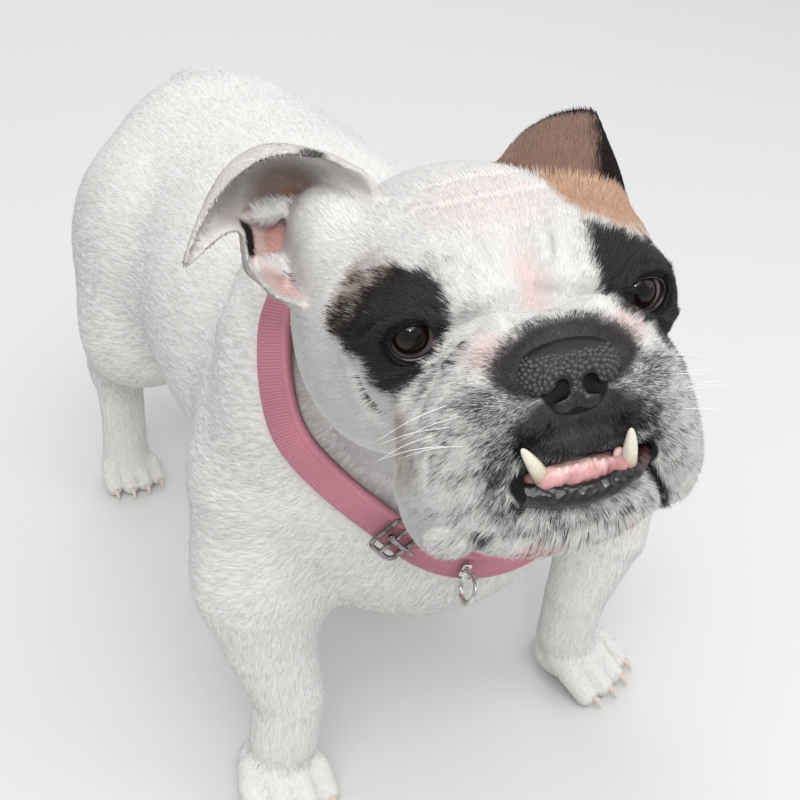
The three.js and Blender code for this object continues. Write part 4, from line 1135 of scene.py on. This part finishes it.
# Eyes: a ball with the cornea's bulge, coloured by the angle from the iris's middle
IRIS = np.array([0.014, 0.007, 0.005])
SCLERA = np.array([0.25, 0.20, 0.20])
PUPIL = np.array([0.004, 0.004, 0.004])
BALL_R, CORNEA_R, CORNEA_RISE = EYE_R - 0.25, 8.4, 0.9


def eyeball(sign, side, finish):
    rows, columns = 72, 96
    off = np.append(np.repeat(np.linspace(0, np.pi, rows + 1)[1:-1], columns), [0, np.pi])
    about = np.append(np.tile(np.arange(columns) * 2 * np.pi / columns, rows - 1), [0, 0])
    gaze_x, gaze_z = GAZE[side]
    gaze = math.sqrt(EYE_R ** 2 - gaze_x ** 2 - gaze_z ** 2)
    ahead = unit(EYE_ACROSS * gaze_x + np.array([0, 0, gaze_z]) + EYE_AHEAD * gaze)
    across = unit(np.cross(ahead, [0, 0, 1.0]))
    up = np.cross(across, ahead)
    arc = off * BALL_R
    bulge = CORNEA_RISE * np.clip(1 - (arc / CORNEA_R) ** 2, 0, 1)
    around = np.cos(about)[:, None] * across + np.sin(about)[:, None] * up
    direction = np.cos(off)[:, None] * ahead + np.sin(off)[:, None] * around
    points = EYE + direction * (BALL_R + bulge)[:, None]
    tris = joined(points[:-2].reshape(rows - 1, columns, 3), False)[1]
    iris = np.clip((IRIS_R - arc) / 0.5 + 0.5, 0, 1)[:, None]
    pupil = np.clip((PUPIL_R - arc) / 0.4 + 0.5, 0, 1)[:, None]
    ring = np.exp(-((arc - IRIS_R) / 0.9) ** 2)[:, None]
    glow = 1 + 0.25 * np.cos(about * 23)[:, None] * np.clip(arc / IRIS_R, 0, 1)[:, None]
    colour = SCLERA * (1 - iris) + IRIS * glow * iris
    colour = colour * (1 - 0.85 * ring) * (1 - pupil) + PUPIL * pupil
    piece(f"eyeball_{side}", *on_side(sign, points, tris), finish, "eye", [f"eye_{side}"], colour)


# The lids' wet edges: each tube's radius, its place out from the opening's edge, its distance from the eye's
# middle, the angles it covers and its colour
LID_TUBES = ((1.15, 0.1, EYE_R + 1.3, (0, 7), LIP),
             # The second, pale tube along the lower lid is a painted highlight on the lid's wet edge.
             (0.3, -0.75, EYE_R + 0.75, (3.4, 6.2), np.array([0.2, 0.16, 0.15])))


def lid_edges(finish):
    angle = np.linspace(0, 2 * np.pi, 120, endpoint=False)
    tubes = []
    for radius, inset, sphere, part, tint in LID_TUBES:
        on = (angle >= part[0]) & (angle <= part[1])
        r = (lid_reach(angle) + inset)[on]
        ahead = np.sqrt(np.maximum(sphere ** 2 - r ** 2, 4.0))
        line = EYE + (r * np.cos(angle[on]))[:, None] * EYE_ACROSS
        line[:, 2] += r * np.sin(angle[on])
        tubes.append((*tube(line + ahead[:, None] * EYE_AHEAD, radius, 8, on.all(), EYE_AHEAD), tint))
    corner = EYE - EYE_ACROSS * 9.88 + np.array([0, 0, -3.4]) + EYE_AHEAD * 8.6
    caruncle = [corner, corner + EYE_ACROSS * 1.2, corner + EYE_ACROSS * 2.6]
    tubes.append((*tube(caruncle, [1.0, 1.5, 0.8], 8), PINK * 0.22))
    v, t = gather([on_side(sign, v, t) for sign in (-1, 1) for v, t, _ in tubes])
    colours = [np.tile(tint, (len(v), 1)) for _ in (-1, 1) for v, _, tint in tubes]
    piece("lid_edges", v, t, finish, "eye", (), np.concatenate(colours))


# Nose: leather in pebbles, with nostrils, two pads under them and a cleft
NOSTRIL = [(4.8, -106, -5.5), (5.6, -103, -8.2), (10, -102.5, -10.6), (17, -99.5, -9.6), (21, -96, -7)]
PEBBLE_STEP, PEBBLE_R = 1.75, 1.7


def nose_shape(h):
    m = mirrored(h)
    d = nose_leather(h) - 0.3
    d = join(d, ball(m, (5.0, -100.5, -13.5), (5.2, 4.6, 4.6)), 1.5)
    d = carve(d, chain(m, NOSTRIL, [2.7, 2.5, 1.5, 1.1, 0.6]), 1.4)
    d = carve(d, rod(m, (5.4, -107, -6.6), (6.8, -93, -5.5), 2.7, 2.2), 1.2)
    d = carve(d, rod(m, (0, -108, -9.5), (0, -105, -22), 0.9, 1.2), 1.2)
    return carve(d, rod(m, (0, -105.5, 1), (0, -107, -6), 0.4, 0.6), 2.0)


def nose(finish):
    v, t = nets(nose_shape, (-23, -111, -21), (23, -80, 14), 0.45)
    n = vertex_normals(v, t)
    seeds, taken = [], np.zeros(len(v), bool)
    tree = tree_of(v)
    for i in RNG.permutation(len(v)):
        if not taken[i]:
            seeds.append(i)
            taken[[k for _, k, _ in tree.find_range(v[i], PEBBLE_STEP)]] = True
    crowd = tree_of(v[seeds])
    near, beyond = np.array([[hit[2] for hit in crowd.find_n(point, 2)] for point in v]).T
    dome = np.clip(1 - (near / PEBBLE_R) ** 2, 0, 1) * np.clip((beyond - near) / 0.6, 0, 1)
    band = np.clip((5.6 - v[:, 2]) / 2.0, 0, 1)
    pads = np.clip((v[:, 2] + 11) / 2.0, 0.15, 1)
    inlet = [(4.8, -104, -5.5), (5.6, -102, -8.2), (12, -101.5, -10.6)]
    holes = np.clip((chain(mirrored(v), inlet, [2.7, 2.5, 1.4]) - 0.2) / 1.2, 0, 1)
    show = band * pads * holes
    v = v + n * ((dome - 0.4) * show)[:, None]
    # The pebbles' tops are painted paler than the creases between them, as painted highlights, and the
    # nostrils are painted near black, as painted shade in them.
    tone = (0.005 + 0.055 * dome * show + 0.012 * (1 - band)) * (0.03 + 0.97 * holes)
    colour = tone[:, None] * np.array([1.0, 1.0, 1.06])
    piece("nose_leather", from_head(v), t, finish, "nose_leather", ["nose"], colour)


# Mouth: a wrinkled black lower lip, wet gums with small teeth, and two canines
def lip_shape(h):
    m = mirrored(h)
    d = chain(m, LOWER_LIP, [4.0, 4.0, 4.1, 3.2])
    edge = [(0, -103.5, -47.6), (12, -102.2, -46.6), (21, -98.5, -44.6), (29, -92, -43.5)]
    d = join(d, chain(m, edge, [1.5, 1.5, 1.6, 1.2]), 1.5)
    wrinkles = 0.14 * np.sin(h[:, 0] * 1.1 + 1.7 * np.sin(h[:, 2] * 0.9)) + 0.22 * ripple(h, 1.3)
    return d + wrinkles * np.clip((h[:, 2] + 54) / 4, 0.2, 1)


LIP_END, LIP_SHEEN = np.array([0.07, 0.028, 0.030]), np.array([0.02, 0.018, 0.018])


def lower_lip(finish):
    v, t = nets(lip_shape, (-37, -110, -58), (37, -84, -38), 0.6)
    ends = np.clip((np.abs(v[:, 0]) - 20) / 10, 0, 1)
    # The pale wrinkles on the lip's upper part, in LIP_SHEEN, are painted glints of its wet surface.
    high = np.clip(ripple(v, 1.3) * 1.4, 0, 1) * (v[:, 2] > -50)
    colour = LIP + (LIP_END - LIP) * ends[:, None] * (v[:, 2] > -49)[:, None] + LIP_SHEEN * high[:, None]
    piece("lower_lip", from_head(v), t, finish, "chin", (), colour)


def gum_shape(h):
    m = mirrored(h)
    d = join(chain(m, GUM, [4.5, 4.5, 4]), chain(m, GUM_BED, [6, 6, 5]), 3)
    d = join_balls(d, h, [((x, -101.3, -42.5), (1.9, 2.0, 4.4), 1.0) for x in INCISOR_X])
    d = join_balls(d, h, [
        ((-13.6, -99.5, -42.5), (4.6, 4.2, 4.8), 1.5), ((16.5, -99.5, -42.5), (3.2, 3.6, 4.8), 1.5),
        ((15.2, -101, -37.6), (2.0, 2.0, 2.2), 1.2)])
    return d + 0.5 * ripple(h, 2.0)


GUM_WET, GUM_PALE = np.array([0.66, 0.33, 0.33]), np.array([0.84, 0.62, 0.58])
GUM_DEEP = np.array([0.22, 0.055, 0.06])


def gums(finish):
    v, t = nets(gum_shape, (-27, -108, -57), (27, -82, -32), 0.6)
    top = np.clip((v[:, 2] + 44) / 5, 0, 1) * np.clip(0.5 + ripple(v, 2.6), 0, 1)
    root = np.clip((np.abs(v[:, 0] - 15) < 6) * 0.5 + 0.5 * ripple(v, 2.0), 0, 1) * (v[:, 0] > 5)
    colour = GUM_WET + (GUM_PALE - GUM_WET) * (0.8 * top)[:, None]
    colour = colour + (GUM_DEEP - colour) * (0.6 * root)[:, None]
    # Gum further back in the mouth is painted darker, as painted shade inside the mouth.
    inner = np.clip((v[:, 1] + 96) / 4, 0, 1)
    piece("gums", from_head(v), t, finish, "chin", (), colour * (1 - 0.7 * inner)[:, None])


IVORY, STAINED, INCISOR_TINT = np.array([0.80, 0.74, 0.62]), np.array([0.50, 0.30, 0.20]), (0.74, 0.50, 0.46)
INCISOR_RISE = (-0.4, 0.3, -0.8, 0.2, 0.7, 0.0)


def teeth(finish):
    meshes, colours = [], []
    for root, tip in np.array(CANINES, float):
        line = smooth_line([root, (root + tip) / 2 + np.array([0.0, -1.0, 0.3]), tip], 22)
        t = np.linspace(0, 1, 22)
        radii = 2.475 * (1 - t) ** 0.8 + 1.125 * np.sqrt(np.clip(1 - t ** 6, 0, 1)) + 0.15
        v, f = tube(line, radii, 18, False, (0, 1, 0))
        meshes.append((from_head(v), f))
        along = np.clip(((v - root) @ (tip - root)) / ((tip - root) @ (tip - root)), 0, 1)
        colours.append(STAINED + (IVORY - STAINED) * np.clip(along * 2.2, 0, 1)[:, None])
    for x, rise in zip(INCISOR_X, INCISOR_RISE):
        line = smooth_line([(x, -99.6, -43), (x, -100.8, -40.2), (x * 1.02, -101, -38.6 + rise)], 8)
        v, f = tube(line, [1.8, 1.9, 2.0, 1.9, 1.75, 1.5, 1.1, 0.5], 12, False, (0, 1, 0))
        meshes.append((from_head(v), f))
        colours.append(np.tile(INCISOR_TINT, (len(v), 1)))
    piece("teeth", *gather(meshes), finish, "chin", (), np.concatenate(colours))


# Claws: four to a paw, bent cones with a pale tip
CLAW_ROOT_TINT, CLAW_TIP_TINT = np.array([0.60, 0.49, 0.43]), np.array([0.78, 0.72, 0.62])
CLAW_RINGS, CLAW_SIDES = 10, 12


def claws(finish):
    part = np.linspace(0, 1, CLAW_RINGS)
    radii = np.linspace(3.0, 0.8, CLAW_RINGS) * np.sqrt(np.clip(1.02 - part ** 8, 0, 1))
    along = np.append(np.repeat(part, CLAW_SIDES), [0, 1])[:, None]
    meshes = []
    for x, y, yaw, scale in PAWS:
        for k in TOES:
            tip = np.array([k * TOE_STEP * 1.06, abs(k) * 4 - CLAW_REACH, CLAW_LOW])
            root = tip + np.array([0, CLAW_BACK, CLAW_RISE])
            line = smooth_line([root, (root + tip) / 2 + np.array([0, -0.8, 1.6]), tip], CLAW_RINGS)
            v, t = tube(line, radii, CLAW_SIDES, False, (1, 0, 0))
            meshes.append(((v * scale) @ rot(0, 0, yaw).T + np.array([x, y, 0]), t))
    colour = CLAW_ROOT_TINT * (1 - along) + CLAW_TIP_TINT * along
    piece("claws", *gather(meshes), finish, "paw", (), np.tile(colour, (len(meshes), 1)))


# Whiskers, each thin, bent and tapered
def whiskers(finish):
    meshes = []
    for sign in (-1, 1):
        for _ in range(6):
            base = laid([[37 + 8 * RNG.random(), -88 + 8 * RNG.random(), -14 - 20 * RNG.random()]])[0]
            out = unit(np.array([1.0, -0.25 + 0.4 * RNG.random(), -0.35 + 0.5 * RNG.random()]))
            long = 16 + 16 * RNG.random()
            bent = [base - out * 1.5, base + out * long * 0.5, base + out * long + [0, 3, -4]]
            meshes.append(on_side(sign, *tube(smooth_line(bent, 9), np.linspace(0.19, 0.05, 9), 5)))
    v, t = gather(meshes)
    piece("whiskers", v, t, finish, "coat", (), np.tile(WHITE, (len(v), 1)))


# Collar: a ribbed strap with a rolled border on its head side, drawn down into the coat
STRAP_PROFILE = [(-8.5, -2.6), (-8.5, 1.9), (-8.0, 2.7), (-7.0, 2.9), (-6.2, 2.5), (-3.5, 2.4), (-1.0, 2.4),
                 (1.5, 2.4), (4.2, 2.4), (5.6, 2.6), (6.3, 3.6), (7.4, 4.1), (8.5, 3.5), (8.9, 1.9),
                 (8.5, -2.6)]
STRAP_STEPS = 1600
RIB_PITCH, RIB_DEPTH = 1.5, 0.28
STRAP_PINK = np.array([0.66, 0.25, 0.32])
STRAP_MAUVE = np.array([0.42, 0.18, 0.22])


def collar():
    middle, out, along, across = strap(np.arange(STRAP_STEPS) * 2 * np.pi / STRAP_STEPS)
    lengths = np.linalg.norm(np.roll(middle, -1, 0) - middle, axis=1)
    gone = np.concatenate([[0], np.cumsum(lengths)[:-1]])
    ribs = round(lengths.sum() / RIB_PITCH)
    rib = np.cos(gone / lengths.sum() * ribs * 2 * np.pi)
    rings, colours = [], []
    for a, o in STRAP_PROFILE:
        base = middle + across * a
        for _ in range(6):
            base = base + out * (COLLAR_CLEAR - trunk(base))[:, None]
        ribbed = RIB_DEPTH * (o > 0) * (1.0 if a < 5.5 else 0.35)
        rings.append(base + out * (o + ribbed * rib)[:, None])
        share = np.clip((a + 8.5) / 17, 0, 1)
        tone = STRAP_MAUVE + (STRAP_PINK - STRAP_MAUVE) * (0.35 + 0.65 * share)
        # The ribs' crests are painted lighter and their grooves darker, as painted light and shade; the
        # ripple is the webbing's own uneven tone. The face against the neck is painted at half, as painted
        # shade.
        worn = 1 + 0.12 * ripple(base, 14.0) + 0.14 * rib * (a < 5.5)
        colours.append(tone[None] * worn[:, None] * (0.5 if o < 0 else 1))
    webbing = finish_of("webbing", (1800, 3), (0.72,) * 3, 0.8, (0.6, 0.85), (0.5, 0.0003))
    tints = np.clip(np.stack(colours, 1).reshape(-1, 3), 0, 1)
    piece("collar_strap", *joined(np.stack(rings, 1), True), webbing, "webbing", ["collar"], tints)


# A place on the strap's outer face: its origin, and its directions along the strap, across it and out of it
def on_strap(near):
    d = np.array(near, float) - COLLAR_MIDDLE
    middle, out, along, across = (x[0] for x in strap(np.array([math.atan2(d @ COLLAR_BACK, d[0])])))
    if np.cross(along, across) @ out < 0:
        along = -along
    return middle + out * (COLLAR_THICK + 0.6), np.stack([along, across, out])


def metal(name, low_tint, high_tint, rough):
    n = Nodes(name)
    worn = n.noise(220, 4)
    n.link(n.ramp(worn, (0.35, low_tint), (0.65, high_tint)), "Base Color")
    n.roughness(worn, rough, rough + 0.18)
    n.set(Metallic=1.0)
    n.bump(worn, 0.3, 0.0001)
    return n.material


def rounded_loop(half_x, half_y, corner, z):
    points = []
    for k, (sx, sy) in enumerate(((1, 1), (-1, 1), (-1, -1), (1, -1))):
        for turn in np.linspace(0, np.pi / 2, 7) + k * np.pi / 2:
            points.append((sx * (half_x - corner) + corner * math.cos(turn),
                           sy * (half_y - corner) + corner * math.sin(turn), z))
        ax, ay = points[-1][:2]
        bx, by = ((-sx * (half_x - corner), ay) if k % 2 == 0 else (ax, -sy * (half_y - corner)))
        points += [(ax + (bx - ax) * f, ay + (by - ay) * f, z) for f in (0.25, 0.5, 0.75)]
    return np.array(points)


BUCKLE_LONG, BUCKLE_WIDE, BUCKLE_WIRE = 17.0, 25.0, 2.6
RING_R, RING_WIRE, RING_PLATE, RING_HANG = 7.4, 1.5, (5.0, 8.0, 2.4), -1.5


def buckle():
    origin, axes = on_strap(BUCKLE_NEAR)
    half = BUCKLE_WIRE / 2
    loop = rounded_loop(BUCKLE_LONG / 2 - half, BUCKLE_WIDE / 2 - half, 3.2, half)
    bar = [(0, -BUCKLE_WIDE / 2 + half, half), (0, 0, half + 0.3), (0, BUCKLE_WIDE / 2 - half, half)]
    tongue = [(-3.0, 0, 1.9), (-1.2, 0, 3.1), (2, 0, 3.2), (7, 0, 3.2), (10.5, 0, 2.9), (13, 0, 2.2)]
    knuckle = [(-2.6, -1.9, 2.0), (-2.6, 0, 2.2), (-2.6, 1.9, 2.0)]
    meshes = [tube(loop, half, 16, True), tube(smooth_line(bar, 16), 1.15, 14),
              tube(smooth_line(tongue, 26), np.linspace(1.35, 0.85, 26), 14, False, (0, 1, 0)),
              tube(smooth_line(knuckle, 8), [0.9, 1.4, 1.7, 1.8, 1.8, 1.7, 1.4, 0.9], 12)]
    v, t = gather(meshes)
    finish = metal("dark_metal", (0.10, 0.095, 0.09), (0.42, 0.41, 0.40), 0.22)
    piece("buckle", origin + v @ axes, t, finish, "dark_metal", ["collar_buckle"])


def plate_field(q):
    half = np.array(RING_PLATE) / 2
    d = np.abs(q - [0, 0, half[2]]) - (half - 0.9)
    return np.linalg.norm(np.maximum(d, 0), axis=1) + np.minimum(d.max(1), 0) - 0.9


def ring():
    origin, axes = on_strap(RING_NEAR)
    v, t = nets(plate_field, (-4, -6, -1.5), (4, 6, 4), 0.35)
    plate = (origin + v @ axes, t)
    pivot = origin + axes[2] * (RING_PLATE[2] + RING_WIRE)
    away = unit(np.array([axes[2][0], axes[2][1], RING_HANG]))
    middle = pivot + away * RING_R
    over = unit(np.cross(axes[0], away))
    away = np.cross(over, axes[0])
    angle = np.linspace(0, 2 * np.pi, 60, endpoint=False)
    line = middle + RING_R * (np.cos(angle)[:, None] * away + np.sin(angle)[:, None] * over)
    loop = tube(line, RING_WIRE, 14, True, axes[0])
    keeper = [(-1.8, 0, 1.6), (-1.6, 0, 3.4), (0, 0, 4.6), (1.6, 0, 3.4), (1.8, 0, 1.6)]
    v, t = tube(smooth_line(keeper, 18), 0.8, 10, False, (0, 1, 0))
    finish = metal("ring_metal", (0.45, 0.44, 0.43), (0.78, 0.77, 0.75), 0.16)
    piece("tag_ring", *gather([plate, loop, (origin + v @ axes, t)]), finish, "ring_metal", ["collar_ring"])


WET_DIM = (0.78,) * 3
wet = finish_of("wet_skin", (500, 4), WET_DIM, 0.6, (0.12, 0.3), (0.4, 0.0001))
eye_finish = finish_of("eye", (700, 5), (0.6,) * 3, 0.5, (0.02, 0.05), gloss=(300, 2), IOR=1.38)
eyeball(-1, "right", eye_finish)
eyeball(1, "left", eye_finish)
lid_edges(wet)
nose(finish_of("leather", (1500, 4), WET_DIM, 0.6, (0.28, 0.5), (0.4, 0.0001)))
lower_lip(wet)
gums(wet)
teeth(finish_of("enamel", (300, 4), WET_DIM, 0.6, (0.12, 0.25), (0.4, 0.00005)))
claws(finish_of("horn", (900, 4), WET_DIM, 0.6, (0.3, 0.5), (0.4, 0.0001)))
whiskers(coat)
collar()
buckle()
ring()


# The stage
FLOOR_HALF = 4000


def floor():
    mesh = bpy.data.meshes.new("floor")
    corners = ((-1, -1), (1, -1), (1, 1), (-1, 1))
    mesh.from_pydata([(x * FLOOR_HALF * MM, y * FLOOR_HALF * MM, 0) for x, y in corners], [], [(0, 1, 2, 3)])
    obj = bpy.data.objects.new("floor", mesh)
    bpy.context.scene.collection.objects.link(obj)
    n = Nodes("floor")
    n.set(Base_Color=(0.70, 0.70, 0.69, 1), Roughness=0.9)
    mesh.materials.append(n.material)


def light(name, at, aim, size, power, colour=(1, 1, 1)):
    data = bpy.data.lights.new(name, "AREA")
    data.shape = "DISK"
    data.size = size
    data.energy = power
    data.color = colour
    obj = bpy.data.objects.new(name, data)
    obj.location = at
    obj.rotation_euler = (Vector(aim) - Vector(at)).to_track_quat("-Z", "Y").to_euler()
    bpy.context.scene.collection.objects.link(obj)


def camera():
    yaw, down, roll = np.radians([CAMERA_YAW, CAMERA_DOWN, CAMERA_ROLL])
    ahead = np.array([np.sin(yaw) * np.cos(down), np.cos(yaw) * np.cos(down), -np.sin(down)])
    right = unit(np.cross(ahead, [0, 0, 1]))
    up = np.cross(right, ahead)
    right, up = right * np.cos(roll) + up * np.sin(roll), -right * np.sin(roll) + up * np.cos(roll)
    data = bpy.data.cameras.new("camera")
    data.sensor_width = SENSOR_MM
    data.lens = SENSOR_MM * FOCAL_PX / PICTURE_PX
    obj = bpy.data.objects.new("camera", data)
    turned = Matrix(np.stack([right, up, -ahead], 1).tolist()).to_4x4()
    obj.matrix_world = Matrix.Translation((CAMERA_AT + SHIFT) * MM) @ turned
    bpy.context.scene.collection.objects.link(obj)
    bpy.context.scene.camera = obj


floor()
light("key", (-0.7, -1.2, 2.5), (0, 0, 0.25), 2.2, 46, (1.0, 0.99, 0.97))
light("spark", (-0.75, -1.5, 1.55), (-0.03, -0.25, 0.36), 0.22, 4.5)
light("fill", (1.6, -1.0, 1.5), (0, 0, 0.25), 2.0, 10, (0.96, 0.98, 1.0))
light("back", (0.6, 2.0, 1.8), (0, 0, 0.25), 1.8, 10)
world = bpy.data.worlds.new("world")
world.use_nodes = True
world.node_tree.nodes["Background"].inputs[0].default_value = (0.95, 0.97, 1.0, 1)
world.node_tree.nodes["Background"].inputs[1].default_value = 0.66
bpy.context.scene.world = world
camera()
bpy.context.scene.view_settings.view_transform = "Standard"
